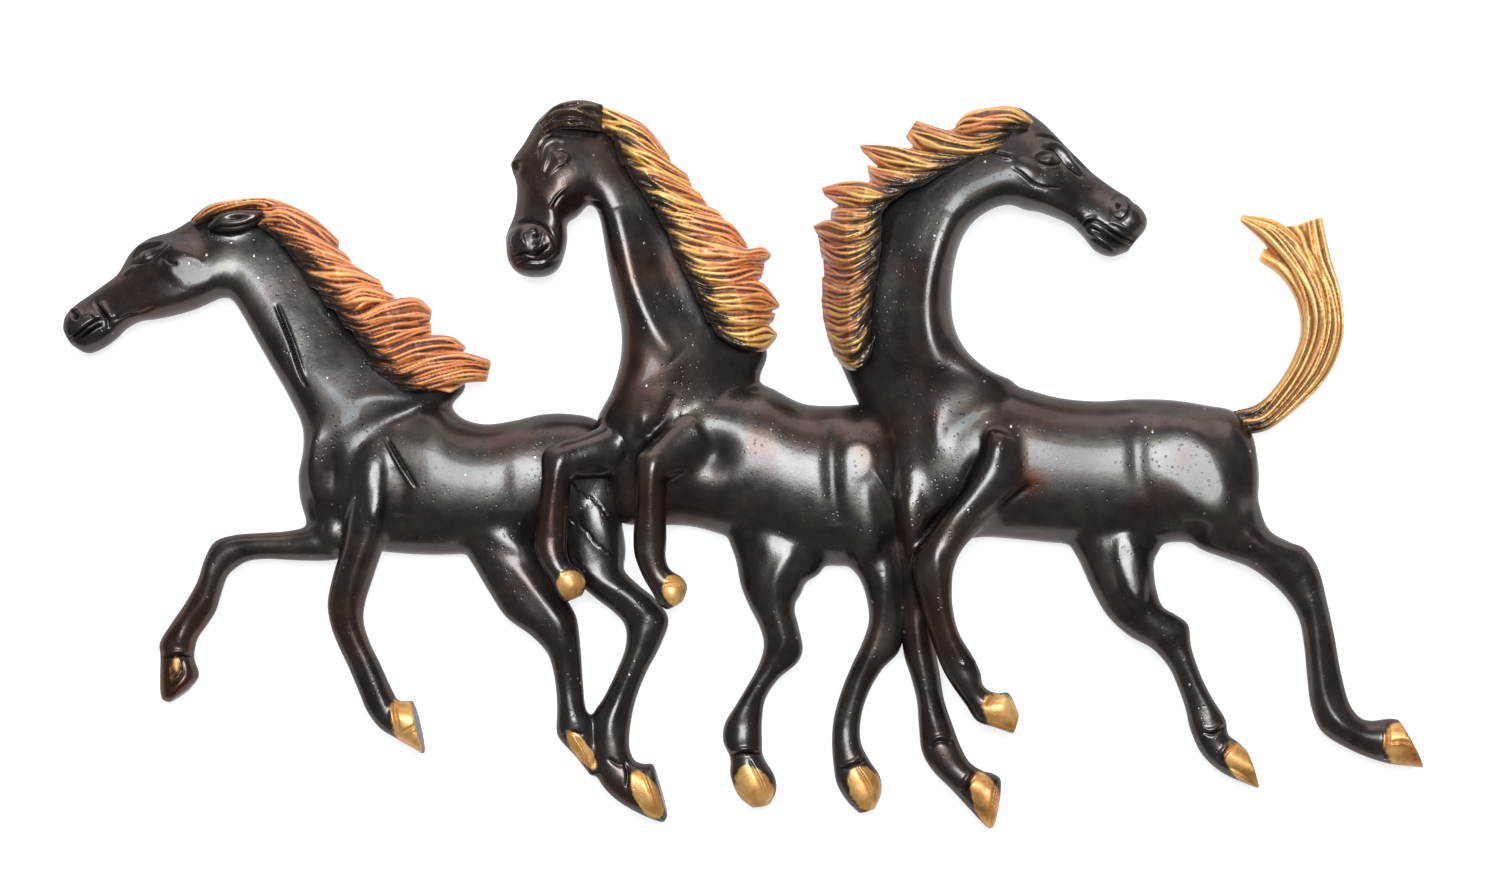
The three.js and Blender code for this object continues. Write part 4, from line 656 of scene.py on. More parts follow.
def sweep(rungs, sides=40, start=0.0, stop=None, grow=0.0, per_rung=6, overrun=0.0, square=2.0,
          lean=(0, 0)):
    """Vertices and faces of a closed solid through stood rungs, grown all round, and run on past
    the last rung by `overrun`. A section is an ellipse at `square` 2 and flatter in front above
    that, and its ridge leans towards b by the first share of `lean` from the fourth rung on,
    which turns into the second one over the last four rungs."""
    end = len(rungs) - 1
    stop = end if stop is None else stop
    rail = through(rungs, np.linspace(start, stop, max(3, int((stop - start) * per_rung) + 1)))
    a = np.column_stack([rail[:, 0], -rail[:, 2], rail[:, 1]])
    b = np.column_stack([rail[:, 3], -rail[:, 5], rail[:, 4]])
    half = np.maximum(rail[:, 6] + grow, THINNEST)
    if overrun:
        onward = a[-1] + b[-1] - a[-2] - b[-2]
        onward *= overrun / np.linalg.norm(onward)
        a, b = np.vstack([a, a[-1] + onward]), np.vstack([b, b[-1] + onward])
        half = np.append(half, half[-1])
    middle, across = (a + b) / 2, (b - a) / 2
    reach = np.linalg.norm(across, axis=1, keepdims=True)
    across = across * np.maximum(reach + grow, THINNEST) / reach
    angle = 2 * math.pi * np.arange(sides) / sides
    s = signed_power(np.cos(angle), 2 / square)
    rise = signed_power(np.sin(angle), 2 / square)
    leans = np.interp(start + np.arange(len(a)) / per_rung, [0, 3, end - 4, end],
                      [0, lean[0], lean[0], lean[1]])[:, None]
    leant = (s - leans) / (1 - leans * s)
    front = (1 - np.abs(leant) ** square) ** (1 / square)
    rise = np.where(rise > 0, front, rise)
    ring = (middle[:, None] + across[:, None] * s[None, :, None]
            + np.array([0, -1, 0]) * (half[:, None] * rise)[:, :, None])
    return ring.reshape(-1, 3), tube_faces(len(a), sides)


def blob(x, z, stand, long, wide, deep, tilt):
    """A muscle: a flattish ellipsoid, `long` half-way along its axis, tilted from +X."""
    c, s = math.cos(math.radians(tilt)), math.sin(math.radians(tilt))
    rungs = []
    for step in np.linspace(-0.49, 0.49, 17):
        u = math.sin(math.pi * step)
        share = (1 - abs(u) ** 2.4) ** (1 / 2.4)
        mx, mz = x + long * u * c, z + long * u * s
        rungs.append([mx - wide * share * s, mz + wide * share * c, stand,
                      mx + wide * share * s, mz - wide * share * c, stand, deep * share])
    return sweep(rungs, 48, per_rung=2, square=2.4)


def lock(upper, lower, stands, half, flutes, dark=0.0, seed=0):
    """One lock of hair: a flat tapering solid between two edges, its front a bundle of wavy
    strands. Returns vertices and faces, and each vertex's darkness, tone and rise."""
    rings, sides = 110, 150
    t = np.linspace(0, 1, rings)
    stand = np.interp(t, (0, 0.5, 1), stands)
    a, b = (np.column_stack(stood(*through(edge, t * (len(edge) - 1)).T, stand)[:2])
            for edge in (pairs(upper), pairs(lower)))
    thick = half * np.interp(t, (0, 0.1, 0.3, 0.6, 0.9, 1), (0.1, 0.5, 0.85, 1, 0.7, 0.35))
    angle = 2 * math.pi * np.arange(sides) / sides
    s, up = np.cos(angle), np.sin(angle)
    rng = np.random.default_rng(seed)
    strands = flutes + 2
    centre = np.linspace(-1.05, 1.05, strands) + rng.uniform(-0.9, 0.9, strands) / strands
    rise = np.full((rings, sides), -9.0)
    tone = np.zeros((rings, sides))

    def wave(slow, fast):
        return np.sin(rng.uniform(slow, fast) * t + rng.uniform(0, 6))

    for i in range(strands):
        wander = rng.uniform(0.08, 0.22) * wave(3, 6) + rng.uniform(0.03, 0.07) * wave(10, 16)
        swell = rng.uniform(-0.35, 0.35) + 0.35 * wave(3, 7)
        width = rng.uniform(0.6, 1.7) * 1.25 / strands
        off = (s[None] - (centre[i] + wander)[:, None]) / width
        this = swell[:, None] - 1.3 * off ** 2
        tone = np.where(this > rise, rng.uniform(0, 1), tone)
        rise = np.maximum(rise, this)
    p1, p2 = rng.uniform(0, 6, 2)
    fine = np.abs(np.sin(3.1 * strands * s[None] + p1
                         + (3.2 * np.sin(4 * t + p2) + 1.2 * np.sin(13 * t + p1))[:, None]))
    rise = np.maximum(rise, -1.15) + 0.16 * (fine - 0.6)
    depth = 1.05 * np.minimum(1, 0.35 + 4 * t) * np.interp(t, (0, 0.85, 1), (1, 0.9, 0.45))
    front = (up > 0)[None] * np.minimum(1, 2 * np.abs(up))[None]
    y = -(stand[:, None] + thick[:, None] * signed_power(up, 0.78)[None]
          + front * depth[:, None] * rise)
    middle, across = (a + b) / 2, (a - b) / 2
    x = middle[:, :1] + across[:, :1] * s[None]
    z = middle[:, 1:] + across[:, 1:] * s[None]
    looks = np.stack([np.full(rise.shape, dark), tone, rise], axis=2)
    return (np.stack([x, y, z], axis=2).reshape(-1, 3), tube_faces(rings, sides),
            looks.reshape(-1, 3))


def box_part(lo, hi):
    x, y, z = zip(lo, hi)
    verts = np.array([(x[i], y[j], z[k]) for k in (0, 1) for j in (0, 1) for i in (0, 1)], float)
    return verts, [[0, 1, 3, 2], [4, 6, 7, 5], [0, 4, 5, 1], [2, 3, 7, 6], [0, 2, 6, 4],
                   [1, 5, 7, 3]]


# ---------------------------------------------------------------- meshes

def add_object(name, data):
    made = bpy.data.objects.new(name, data)
    bpy.context.scene.collection.objects.link(made)
    return made


def new_object(name, parts):
    """One mesh object, in millimetres for now, from (vertices, faces) parts, facing out."""
    verts, faces, base = [], [], 0
    for v, f in parts:
        verts.append(v)
        faces += [[base + i for i in face] for face in f]
        base += len(v)
    mesh = bpy.data.meshes.new(name)
    mesh.from_pydata(np.vstack(verts).tolist(), [], faces)
    mesh.validate()
    bm = bmesh.new()
    bm.from_mesh(mesh)
    bmesh.ops.recalc_face_normals(bm, faces=bm.faces)
    bm.to_mesh(mesh)
    bm.free()
    return add_object(name, mesh)


def copy_of(piece, name):
    return add_object(name, piece.data.copy())


def discard(*objects):
    for o in objects:
        bpy.data.objects.remove(o)


def modify(piece, kind, **settings):
    """Puts a modifier on the piece and applies it to its mesh."""
    modifier = piece.modifiers.new(kind, kind)
    for key, value in settings.items():
        setattr(modifier, key, value)
    graph = bpy.context.evaluated_depsgraph_get()
    mesh = bpy.data.meshes.new_from_object(piece.evaluated_get(graph), depsgraph=graph)
    piece.modifiers.clear()
    old, piece.data = piece.data, mesh
    bpy.data.meshes.remove(old)


def remesh(piece, voxel):
    modify(piece, "REMESH", mode="VOXEL", voxel_size=voxel)


def boolean(piece, tool, operation="DIFFERENCE"):
    modify(piece, "BOOLEAN", object=tool, operation=operation, solver="MANIFOLD")


def coords(mesh):
    co = np.empty(len(mesh.vertices) * 3)
    mesh.vertices.foreach_get("co", co)
    return co.reshape(-1, 3)


def set_coords(mesh, co):
    mesh.vertices.foreach_set("co", co.ravel())
    mesh.update()


def normals(mesh):
    out = np.empty(len(mesh.vertices) * 3, np.float32)
    mesh.vertex_normals.foreach_get("vector", out)
    return out.reshape(-1, 3).astype(float)


def neighbour_mean(mesh):
    """A function that averages a per-vertex array over each vertex's neighbours."""
    edges = np.empty(len(mesh.edges) * 2, np.int32)
    mesh.edges.foreach_get("vertices", edges)
    a, b = edges[0::2], edges[1::2]
    n = len(mesh.vertices)
    degree = np.maximum(np.bincount(a, minlength=n) + np.bincount(b, minlength=n), 1)

    def mean(values):
        columns = values.reshape(n, -1).T
        return np.column_stack([(np.bincount(a, c[b], n) + np.bincount(b, c[a], n)) / degree
                                for c in columns]).reshape(values.shape)
    return mean


def relax(mesh, rounds):
    """Taubin smoothing, which removes the voxel steps and keeps the volume."""
    mean, co = neighbour_mean(mesh), coords(mesh)
    for _ in range(rounds):
        for pull in (0.5, -0.52):
            co = co + pull * (mean(co) - co)
    set_coords(mesh, co)


def fillet(mesh, voxel, reach):
    """Fills valleys with smooth fillets: vertices move only outwards, where the skin is hollow."""
    mean, co = neighbour_mean(mesh), coords(mesh)
    for i in range(int((reach / voxel) ** 2)):
        if i % 4 == 0:
            set_coords(mesh, co)
            n = normals(mesh)
        outward = np.maximum(((mean(co) - co) * n).sum(1), 0)
        co = co + 0.9 * outward[:, None] * n
    set_coords(mesh, co)
    relax(mesh, 4)


def refine(mesh, boxes):
    """Halves the grain of the skin's front inside boxes of the wall plane."""
    bm = bmesh.new()
    bm.from_mesh(mesh)
    edges = [e for e in bm.edges
             if any(all(lo[0] < v.co.x < hi[0] and lo[1] < v.co.z < hi[1] and v.co.y < -FINE_STAND
                        for v in e.verts) for lo, hi in boxes)]
    bmesh.ops.subdivide_edges(bm, edges=edges, cuts=1, use_grid_fill=True)
    bm.to_mesh(mesh)
    bm.free()


def drop_crumbs(piece):
    """Drops the crumbs that a cut left beside the piece."""
    bm = bmesh.new()
    bm.from_mesh(piece.data)
    met, islands = set(), []
    for v in bm.verts:
        if v in met:
            continue
        stack, island = [v], []
        met.add(v)
        while stack:
            u = stack.pop()
            island.append(u)
            for w in (e.other_vert(u) for e in u.link_edges):
                if w not in met:
                    met.add(w)
                    stack.append(w)
        islands.append(island)
    islands.sort(key=len)
    doomed = [v for island in islands[:-1] if len(island) < CRUMB for v in island]
    if doomed:
        bmesh.ops.delete(bm, geom=doomed, context="VERTS")
    bm.to_mesh(piece.data)
    bm.free()


def store(mesh, name, values):
    layer = mesh.attributes.new(name, "FLOAT", "POINT")
    layer.data.foreach_set("value", np.asarray(values, np.float32))


# ---------------------------------------------------------------- chasing

def along(points, x, z):
    """Distance of (x, z) from a line of points, signed to its left, and where along it is."""
    dense = through(points, np.linspace(0, len(points) - 1, 8 * (len(points) - 1) + 1))
    best = np.full(len(x), 1e9)
    sign = np.zeros(len(x))
    place = np.zeros(len(x))
    lengths = np.linalg.norm(np.diff(dense, axis=0), axis=1)
    before = np.concatenate([[0], np.cumsum(lengths)])
    for i, (p0, p1) in enumerate(zip(dense[:-1], dense[1:])):
        d = p1 - p0
        size = max(d @ d, 1e-9)
        f = np.clip(((x - p0[0]) * d[0] + (z - p0[1]) * d[1]) / size, 0, 1)
        dx, dz = x - p0[0] - f * d[0], z - p0[1] - f * d[1]
        distance = np.hypot(dx, dz)
        closer = distance < best
        best[closer] = distance[closer]
        sign[closer] = np.sign(d[0] * dz - d[1] * dx)[closer]
        place[closer] = ((before[i] + f * lengths[i]) / before[-1])[closer]
    return best, sign, place


def chase(mesh, strokes):
    """Raises and sinks the front of a skin. A stroke is (kind, width, height, x, z, ...):
    "plane" flattens an oval, given as for "mound", to a plane that faces a little upwards;
    "line" is a ridge, or a groove if its height is negative; "fold" lifts the left of the line
    and sinks its right; "mound" is a round swelling at its first point, `width` across, or an
    oval one when its second point gives the end of its long half axis."""
    co, n = coords(mesh), normals(mesh)
    facing = np.clip(-n[:, 1] * 1.5 + 0.15, 0, 1)
    at_x, at_z = seen(co)
    for kind, width, height, *numbers in strokes:
        p = pairs(numbers)
        is_oval = kind in ("mound", "plane")
        centre = p[0]
        axis = p[1] - centre if len(p) > 1 else np.array([width, 0.0])
        long_half = np.linalg.norm(axis)
        margin = 3.5 * width
        lo, hi = p.min(0) - margin, p.max(0) + margin
        if is_oval and len(p) > 1:
            lo, hi = centre - long_half - margin, centre + long_half + margin
        near = np.nonzero((at_x > lo[0]) & (at_x < hi[0])
                          & (at_z > lo[1]) & (at_z < hi[1]) & (facing > 0))[0]
        if not len(near):
            continue
        x, z = at_x[near], at_z[near]
        if is_oval:
            axis = axis / long_half
            u = ((x - centre[0]) * axis[0] + (z - centre[1]) * axis[1]) / long_half
            v = (-(x - centre[0]) * axis[1] + (z - centre[1]) * axis[0]) / width
            shape = np.exp(-1.4 * (u * u + v * v))
        else:
            distance, side, place = along(p, x, z)
            taper = np.sqrt(np.clip(4 * place * (1 - place), 0, 1) + 0.02)
            shape = np.exp(-(distance / width) ** 2) * taper
        if kind == "fold":
            shape = shape * side * np.minimum(1, distance / (0.35 * width))
        if kind == "plane":
            middle = near[np.argmin(np.hypot(u * long_half, v * width) - 5 * facing[near])]
            goal = (co[middle, 1] - height + UPWARDS * (z - centre[1])
                    - INWARDS * (centre[0] - CAMERA_AT[0]) * (x - centre[0]))
            share = np.clip(1.6 - 1.5 * np.hypot(u, v), 0, 1) * facing[near]
            co[near, 1] += PLANISH * share * share * (3 - 2 * share) * (goal - co[near, 1])
        else:
            co[near] += (height * shape * facing[near])[:, None] * n[near]
    set_coords(mesh, co)


def hollows(mesh, rounds):
    """How deep each vertex lies in a groove (positive) or on a crest (negative), in mm."""
    mean, co, n = neighbour_mean(mesh), coords(mesh), normals(mesh)
    soft = co
    for _ in range(rounds):
        soft = mean(soft)
    return ((soft - co) * n).sum(1)


# ---------------------------------------------------------------- materials

class Shader:
    """A new material with a Principled shader. Its methods add nodes and return an output, and
    wherever they take an input, it is a number, a colour or another node's output."""

    def __init__(self, name):
        self.material = bpy.data.materials.new(name)
        self.material.use_nodes = True
        self.tree = self.material.node_tree
        self.place = self.node("TexCoord").outputs["Object"]

    def put(self, socket, value):
        if isinstance(value, bpy.types.NodeSocket):
            self.tree.links.new(value, socket)
        else:
            socket.default_value = (*value, 1.0) if isinstance(value, tuple) else value

    def node(self, kind, inputs=(), **settings):
        made = self.tree.nodes.new("ShaderNode" + kind)
        for key, value in settings.items():
            setattr(made, key, value)
        for key, value in dict(inputs).items():
            self.put(made.inputs[key], value)
        return made

    def attribute(self, name):
        return self.node("Attribute", attribute_name=name).outputs["Fac"]

    def noise(self, scale, detail=4.0, roughness=0.55):
        return self.node("TexNoise", {"Vector": self.place, "Scale": scale, "Detail": detail,
                                      "Roughness": roughness}).outputs["Fac"]

    def cells(self, scale):
        """Distance from the middles of scattered cells."""
        return self.node("TexVoronoi", {"Vector": self.place, "Scale": scale}).outputs["Distance"]

    def ramp(self, value, *stops):
        """A colour ramp. Stops are (position, grey) or (position, (r, g, b))."""
        made = self.node("ValToRGB", {"Fac": value})
        elements = made.color_ramp.elements
        while len(elements) < len(stops):
            elements.new(0.5)
        for element, (position, colour) in zip(elements, stops):
            element.position = position
            rgb = colour if isinstance(colour, tuple) else (colour,) * 3
            element.color = (*rgb, 1.0)
        return made.outputs["Color"]

    def mix(self, factor, a, b):
        return self.node("MixRGB", {0: factor, 1: a, 2: b}).outputs["Color"]

    def math(self, operation, a, b, clamp=False):
        return self.node("Math", {0: a, 1: b}, operation=operation, use_clamp=clamp).outputs[0]

    def plus(self, a, b, clamp=False):
        return self.math("ADD", a, b, clamp)

    def times(self, a, b):
        return self.math("MULTIPLY", a, b)

    def stirred(self, value, texture, amount, clamp=False):
        """The value, plus `amount` times what the texture has above its middle."""
        return self.plus(value, self.times(self.math("SUBTRACT", texture, 0.5), amount), clamp)

    def finish(self, inputs, height, strength, distance):
        """Fills in the Principled shader, with a bump that is `distance` metres high."""
        bump = self.node("Bump", {"Height": height, "Strength": strength, "Distance": distance})
        principled = self.tree.nodes["Principled BSDF"]
        for key, value in {**inputs, "Normal": bump.outputs["Normal"]}.items():
            self.put(principled.inputs[key], value)
        return self.material


def patina_material():
    """Black-brown waxed bronze with red-brown patches, painted shade in the grooves and in the rougher
    patches, casting pits, pale specks painted as glints, and raw brass where the piece's `rub` attribute
    says that it has worn through."""
    s = Shader("patina")
    cloud, streak = s.noise(26.0, 5.0, 0.6), s.noise(75.0, 6.0, 0.65)
    dark = s.ramp(streak, (0.3, (0.046, 0.036, 0.033)), (0.5, (0.074, 0.060, 0.054)),
                  (0.7, (0.102, 0.083, 0.066)))
    warm = s.ramp(streak, (0.3, (0.060, 0.022, 0.014)), (0.7, (0.125, 0.040, 0.022)))
    reddened = s.plus(s.attribute("warm"), s.ramp(cloud, (0.54, 0.0), (0.74, 0.6)), True)
    base = s.mix(reddened, dark, warm)
    # Painted shade: the base colour goes near black in the grooves, by the `groove` attribute.
    base = s.mix(s.attribute("groove"), base, (0.018, 0.014, 0.012))
    # Painted shade: these patches darken the base colour; their extra roughness further down is a real
    # finish.
    rough_and_shaded_share = s.times(s.attribute("rough_and_shaded"), s.ramp(streak, (0.2, 0.7), (0.8, 1.0)))
    base = s.mix(s.times(rough_and_shaded_share, 0.6), base, (0.030, 0.022, 0.018))
    # Painted glints: pale specks put into the base colour over small bumps, where a pit would catch the
    # light.
    specks = s.times(s.ramp(s.cells(170.0), (0.05, 1.0), (0.11, 0.0)),
                     s.ramp(s.noise(45.0, 2.0), (0.53, 0.0), (0.6, 0.9)))
    base = s.mix(specks, base, (0.55, 0.50, 0.40))

    brass = s.ramp(streak, (0.3, (0.30, 0.11, 0.03)), (0.5, (0.60, 0.28, 0.08)),
                   (0.7, (0.86, 0.50, 0.19)))
    brushed = s.stirred(s.attribute("rub"), s.noise(260.0, 5.0, 0.7), 0.9)
    worn = s.ramp(brushed, (0.40, 0.0), (0.62, 1.0))

    wax = s.ramp(cloud, (0.3, 0.23), (0.7, 0.33))
    gloss = s.plus(wax, s.ramp(streak, (0.35, 0.0), (0.7, 0.08)))
    gloss = s.plus(gloss, s.times(rough_and_shaded_share, 0.22))

    pits = s.ramp(s.cells(430.0), (0.0, 0.0), (0.25, 1.0))
    unpitted = s.ramp(s.noise(60.0, 3.0), (0.48, 1.0), (0.62, 0.0))
    height = s.math("MAXIMUM", pits, unpitted)
    for texture, share in ((streak, 1.3), (s.noise(900.0, 3.0), 0.10), (specks, 0.8)):
        height = s.plus(height, s.times(texture, share))
    return s.finish({"Base Color": s.mix(worn, base, brass),
                     "Metallic": s.ramp(worn, (0.0, 0.86), (1.0, 0.45)),
                     "Roughness": s.mix(worn, gloss, (0.42, 0.42, 0.42)),
                     "Coat Weight": 0.2, "Coat Roughness": 0.12,
                     "Specular Tint": (0.45, 0.42, 0.42)}, height, 0.4, 0.0004)


def hair_material(name, groove, wash, gold, metallic):
    """Washed metal over fluted hair: painted shade dark in the grooves, painted highlights bright on the
    crests, more golden where the piece's `gold` attribute says so, and dark patina where `root` does.
    `groove` is the colour of the painted shade, and `wash` and
    `gold` are the colours low, half-way up and on the crests, rising to the painted highlight."""
    s = Shader(name)
    cloud, grain = s.noise(70.0, 5.0, 0.65), s.noise(500.0, 4.0, 0.7)
    # Painted shade and highlight: `level` follows the crest attribute, so the ramps below run from the
    # groove colour in hollows to bright colours on crests.
    level = s.stirred(s.stirred(s.attribute("crest"), grain, 0.35), cloud, 0.3)
    plain, gilt = (s.ramp(level, (0.0, groove), (0.2, groove), (0.4, low), (0.62, middle),
                          (0.95, crest)) for low, middle, crest in (wash, gold))
    share = s.stirred(s.attribute("gold"), cloud, 2.2, True)
    colour = s.mix(s.ramp(share, (0.3, 0.0), (0.7, 1.0)), plain, gilt)
    dark = s.ramp(s.stirred(s.attribute("root"), grain, 0.7, True), (0.35, 0.0), (0.8, 0.95))
    matte = s.ramp(cloud, (0.3, 0.42), (0.7, 0.58))
    return s.finish({"Base Color": s.mix(dark, colour, (0.07, 0.05, 0.042)),
                     "Metallic": s.ramp(dark, (0.0, metallic), (1.0, 0.8)),
                     "Roughness": s.mix(dark, matte, (0.3, 0.3, 0.3)),
                     "Coat Weight": 0.15, "Coat Roughness": 0.2}, grain, 0.5, 0.0003)


def raw_material(name, dark, light, metallic):
    """The rough inside of a sand casting."""
    s = Shader(name)
    sand, stain = s.noise(700.0, 6.0, 0.7), s.noise(35.0, 5.0, 0.6)
    return s.finish({"Base Color": s.ramp(stain, (0.35, dark), (0.7, light)),
                     "Metallic": metallic,
                     "Roughness": s.ramp(sand, (0.3, 0.5), (0.7, 0.75))}, sand, 0.7, 0.0006)


PATINA = patina_material()
RAW = raw_material("raw_casting", (0.028, 0.020, 0.014), (0.10, 0.066, 0.035), 0.6)
BRASS = raw_material("bare_brass", (0.30, 0.20, 0.08), (0.52, 0.38, 0.17), 0.9)
# Each wash: a painted shade colour for the grooves, then plain and gilt colours rising to a painted
# highlight on the crests.
COPPER = hair_material("copper_wash", (0.050, 0.020, 0.012),
                       ((0.34, 0.085, 0.028), (0.74, 0.205, 0.060), (0.95, 0.44, 0.18)),
                       ((0.28, 0.10, 0.02), (0.68, 0.30, 0.05), (0.95, 0.62, 0.20)), 0.1)
EMBER = hair_material("ember_wash", (0.035, 0.016, 0.010),
                      ((0.22, 0.060, 0.022), (0.56, 0.150, 0.045), (0.86, 0.36, 0.14)),
                      ((0.20, 0.075, 0.018), (0.52, 0.22, 0.04), (0.88, 0.52, 0.15)), 0.1)
GOLD = hair_material("gold_wash", (0.16, 0.06, 0.018),
                     ((0.46, 0.20, 0.05), (0.76, 0.40, 0.10), (0.96, 0.68, 0.27)),
                     ((0.40, 0.13, 0.03), (0.72, 0.30, 0.07), (0.95, 0.60, 0.22)), 0.3)


# ---------------------------------------------------------------- horses

sweeps = {name: stood_rungs(rungs) for name, rungs in SWEEPS.items()}
legs = {node: (seam, stood_rungs(rungs)) for node, (seam, rungs) in LEGS.items()}


def legs_of(horse):
    return {node: leg for node, leg in legs.items() if node.startswith(horse)}


def two_faced(piece, index):
    """Gives the piece the patina and raw slots, and puts its faces in one of them."""
    piece.data.materials.clear()
    for material in (PATINA, RAW):
        piece.data.materials.append(material)
    piece.data.polygons.foreach_set("material_index", [index] * len(piece.data.polygons))
    return piece


def make_skin(horse):
    """The whole of a horse without its mane, as one cast and chased skin."""
    parts = [sweep(sweeps[horse + "_torso"], 96, grow=0.2, square=2.3),
             sweep(sweeps[horse + "_neck"], 80, grow=0.2, square=2.1, lean=LEAN[horse])]
    parts += [sweep(rungs, 56, grow=0.35, square=2.1) for _, rungs in legs_of(horse).values()]
    if horse + "_ear" in sweeps:
        parts.append(sweep(sweeps[horse + "_ear"], 32))
    parts += [blob(*stood(*muscle[:3]), *muscle[3:]) for muscle in MUSCLES[horse]]
    skin = new_object(horse + "_skin", parts)
    remesh(skin, SKIN_VOXEL)
    fillet(skin.data, SKIN_VOXEL, FILLET)
    relax(skin.data, 5)
    chase(skin.data, BROAD_STROKES[horse])
    relax(skin.data, 2)
    refine(skin.data, FINE_BOXES[horse])
    relax(skin.data, 1)
    chase(skin.data, FINE_STROKES[horse])
    # Painted shade: `groove` measures how deep each point lies in a groove, and the patina darkens there.
    store(skin.data, "groove", np.clip(hollows(skin.data, 6) * 6 - 0.1, 0, 1))
    return two_faced(skin, 0)


def cut(piece, parts, ribbed=False):
    """Cuts closed parts out of the piece, which shows raw metal there, and leaves a rib when `ribbed` is
    set.
    """
    tool = two_faced(new_object("cutter", parts), 1)
    if ribbed:
        cut(tool, [box_part(*RIB)])
    boolean(piece, tool)
    discard(tool)


def part_off(rest, name, sides, rungs, seam, margin, overrun):
    """Cuts the end of a sweep, from its seam on, off the rest of a horse, and returns it."""
    tool = two_faced(new_object("cutter", [sweep(rungs, sides, start=seam, grow=margin,
                                                 overrun=overrun)]), 1)
    piece = copy_of(rest, name)
    boolean(piece, tool, "INTERSECT")
    boolean(rest, tool)
    discard(tool)
    drop_crumbs(piece)
    return piece


def patches(spots, co):
    """Patches of a finish: round spots of (x, z, radius, strength)."""
    out = np.zeros(len(co))
    at_x, at_z = seen(co)
    for x, z, radius, strength in spots:
        d = np.hypot(at_x - x, at_z - z) / radius
        out = np.maximum(out, strength * np.exp(-d * d))
    return out


def worn_hoof(mesh, x, z, long, wide, tilt, strength):
    """How far the patina has worn off: an oval on the hoof's front, fading at its edge."""
    c, s = math.cos(math.radians(tilt)), math.sin(math.radians(tilt))
    at_x, at_z = seen(coords(mesh))
    dx, dz = at_x - x, at_z - z
    reach = np.hypot((dx * c + dz * s) / long, (dz * c - dx * s) / wide)
    fade = np.clip((1.28 - reach) / 0.5, 0, 1)
    return strength * fade * np.clip((-normals(mesh)[:, 1] + 0.05) / 0.4, 0, 1)


def finish_piece(piece, node):
    """Metres, smooth shading with sharp cut edges, the root body, and the node it stands for."""
    mesh = piece.data
    mesh.transform(Matrix.Scale(MM, 4))
    mesh.polygons.foreach_set("use_smooth", [True] * len(mesh.polygons))
    mesh.set_sharp_from_angle(angle=math.radians(SHARP_EDGE))
    mesh.update()
    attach(piece, "root")
    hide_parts(node)


def finish_casting(piece, node, horse):
    """The finish of a piece with the patina: where it is worn and warm, and the rougher patches with
    painted shade.
    """
    mesh = piece.data
    if node in HOOVES:
        store(mesh, "rub", worn_hoof(mesh, *HOOVES[node]))
    store(mesh, "warm", patches(WARM[horse], coords(mesh)))
    # Painted shade: these patches darken the patina as well as roughening it.
    store(mesh, "rough_and_shaded", patches(ROUGH_AND_SHADED[horse], coords(mesh)))
    finish_piece(piece, node)


def nearest(points, values, wanted):
    """The values of the points nearest to the wanted ones."""
    tree = KDTree(len(points))
    for i, p in enumerate(points.tolist()):
        tree.insert(p, i)
    tree.balance()
    return values[[tree.find(p)[1] for p in wanted.tolist()]]


def hair(node, core, locks, root, dark_reach, gilding, material, skin):
    """A fluted casting of hair: fused locks, seated on the skin they lie on. Strands are dark
    within about `dark_reach` of the root line, and `gilding` gives the golden share at the
    root line and GILDING_REACH from it."""
    piece = new_object(node + "_cast", core + [part[:2] for part in locks])
    remesh(piece, HAIR_VOXEL)
    mesh = piece.data
    co = coords(mesh)
    dark, tone, rise = nearest(np.vstack([part[0] for part in locks]),
                               np.vstack([part[2] for part in locks]), co).T
    distance = along(root, *seen(co))[0]
    # Painted shade and highlight: `crest` is low in the hollows and high on the crests and ridges of the
    # strands.
    store(mesh, "crest", np.clip(0.62 - 1.25 * hollows(mesh, 8) + 0.16 * rise, 0, 1))
    root_share = np.clip(1.25 - distance / dark_reach - 0.9 * (tone - 0.5), 0, 1)
    store(mesh, "root", np.maximum(root_share, dark))
    share = np.interp(distance, (0, GILDING_REACH), gilding)
    store(mesh, "gold", np.clip(share + 0.6 * (tone - 0.5) + 0.25 * rise, 0, 1))
    mesh.materials.append(material)
    seat = copy_of(skin, "seat")
    seat.data.materials.clear()
    boolean(piece, seat)
    discard(seat)
    drop_crumbs(piece)
    finish_piece(piece, node)


skins = {horse: make_skin(horse) for horse in ("left", "middle", "right")}

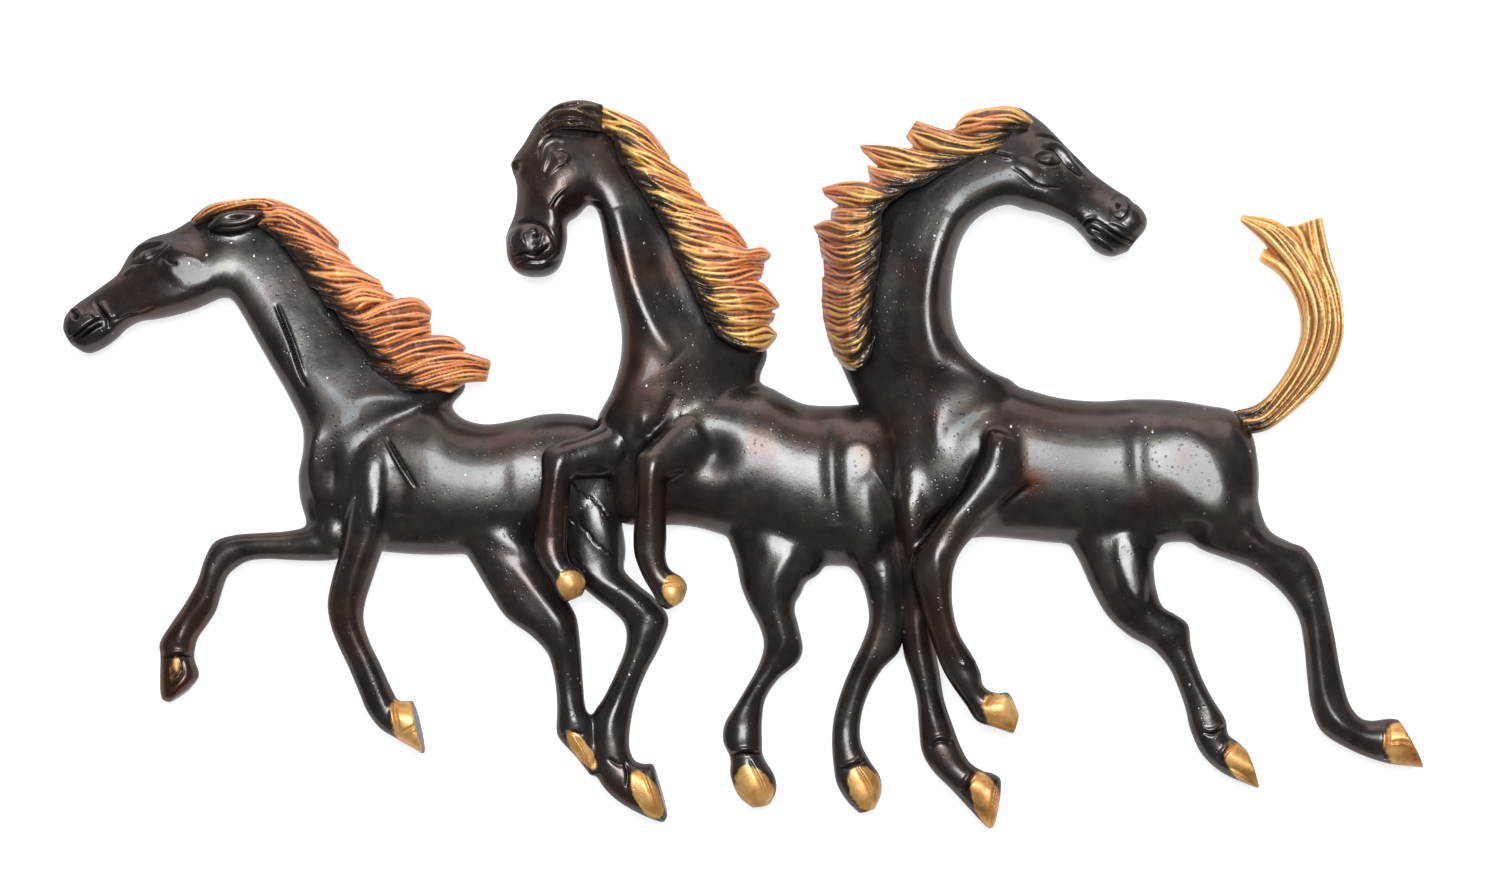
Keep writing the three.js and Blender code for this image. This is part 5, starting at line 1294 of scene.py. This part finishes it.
for horse, skin in skins.items():
    body = copy_of(skin, horse + "_body_cast")
    cut(body, [box_part(*BEHIND)])
    for node, (seam, rungs) in legs_of(horse).items():
        leg = part_off(body, node + "_cast", 44, rungs, seam, SEAM_MARGIN, 6)
        finish_casting(leg, node, horse)
    torso, neck = sweeps[horse + "_torso"], sweeps[horse + "_neck"]
    head = part_off(body, horse + "_head_cast", 64, neck, HEAD_SEAM[horse], SEAM_MARGIN + 2, 8)
    finish_casting(head, horse + "_head", horse)

    for rungs, start, stop, lean in ((torso, 1, len(torso) - 2, (0, 0)),
                                     (neck, 0, HOLLOW_END[horse], LEAN[horse])):
        cut(body, [sweep(rungs, 40, start=start, stop=stop, grow=-SHELL - 1, lean=lean)],
            ribbed=horse == "middle")
    if horse in IN_FRONT:
        front = two_faced(copy_of(skins[IN_FRONT[horse]], "front"), 1)
        boolean(body, front)
        discard(front)
    drop_crumbs(body)
    finish_casting(body, horse + "_body", horse)

    locks = [lock(*spec, seed=7 * i + 3) for i, spec in enumerate(LOCKS[horse])]
    hair(horse + "_mane", [sweep(sweeps[horse + "_mane"], 32, grow=-MANE_CORE)], locks,
         ROOTS[horse], MANE_DARK, GILDING[horse], EMBER if horse == "right" else COPPER,
         skin)

locks = [lock(*spec, seed=50 + i) for i, spec in enumerate(LOCKS["tail"])]
hair("right_tail", [], locks, ROOTS["tail"], TAIL_DARK, GILDING["tail"], GOLD,
     skins["right"])
discard(*skins.values())

for node in ("left_hanger", "right_hanger"):
    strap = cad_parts[node]
    strap.data.materials.clear()
    strap.data.materials.append(BRASS)

# ---------------------------------------------------------------- stage

scene = bpy.context.scene
scene.view_settings.view_transform = "Standard"


def backdrop():
    """A white wall just behind the relief, see-through from behind."""
    gap, reach = WALL_GAP * MM, 3.0
    mesh = bpy.data.meshes.new("backdrop")
    mesh.from_pydata([(-reach, gap, -reach), (reach, gap, -reach), (reach, gap, reach),
                      (-reach, gap, reach)], [], [(0, 1, 2, 3)])
    s = Shader("white_wall")
    paint = s.node("BsdfDiffuse", {"Color": (0.5, 0.5, 0.49)}).outputs[0]
    glow = s.node("Emission", {"Color": (1, 0.995, 0.985), "Strength": 0.75}).outputs[0]
    both = s.node("AddShader", {0: paint, 1: glow}).outputs[0]
    clear = s.node("BsdfTransparent").outputs[0]
    behind = s.node("NewGeometry").outputs["Backfacing"]
    wall = s.node("MixShader", {0: behind, 1: both, 2: clear}).outputs[0]
    s.put(s.tree.nodes["Material Output"].inputs["Surface"], wall)
    mesh.materials.append(s.material)
    add_object("backdrop", mesh)


def softbox(name, location, width, height, power, colour):
    """A rectangular light that faces the middle of the relief."""
    light = bpy.data.lights.new(name, "AREA")
    light.shape, light.size, light.size_y = "RECTANGLE", width, height
    light.energy, light.color = power, colour
    lamp = add_object(name, light)
    lamp.location = location
    lamp.rotation_euler = (-Vector(location)).to_track_quat("-Z", "Y").to_euler()


backdrop()
softbox("window", (0.06, -1.6, 0.34), 0.78, 0.66, 34, (0.78, 0.92, 1.0))
softbox("ceiling", (0, -0.5, 1.6), 2.2, 1.0, 14, (1.0, 0.93, 0.95))
world = bpy.data.worlds.new("studio")
scene.world = world
world.use_nodes = True
world.node_tree.nodes["Background"].inputs["Color"].default_value = (1, 0.98, 0.96, 1)
world.node_tree.nodes["Background"].inputs["Strength"].default_value = 0.16

camera = bpy.data.cameras.new("camera")
camera.sensor_width = 36.0
camera.lens = camera.sensor_width * (FOCUS_Y - CAMERA_AT[1]) / PHOTO_WIDTH
camera.shift_x = (VIEW_CENTRE[0] - CAMERA_AT[0]) / PHOTO_WIDTH
camera.shift_y = (VIEW_CENTRE[1] - CAMERA_AT[2]) / PHOTO_WIDTH
camera.clip_start, camera.clip_end = 0.05, 10
eye = add_object("camera", camera)
eye.location = [c * MM for c in CAMERA_AT]
eye.rotation_euler = (math.pi / 2, 0, 0)
scene.camera = eye
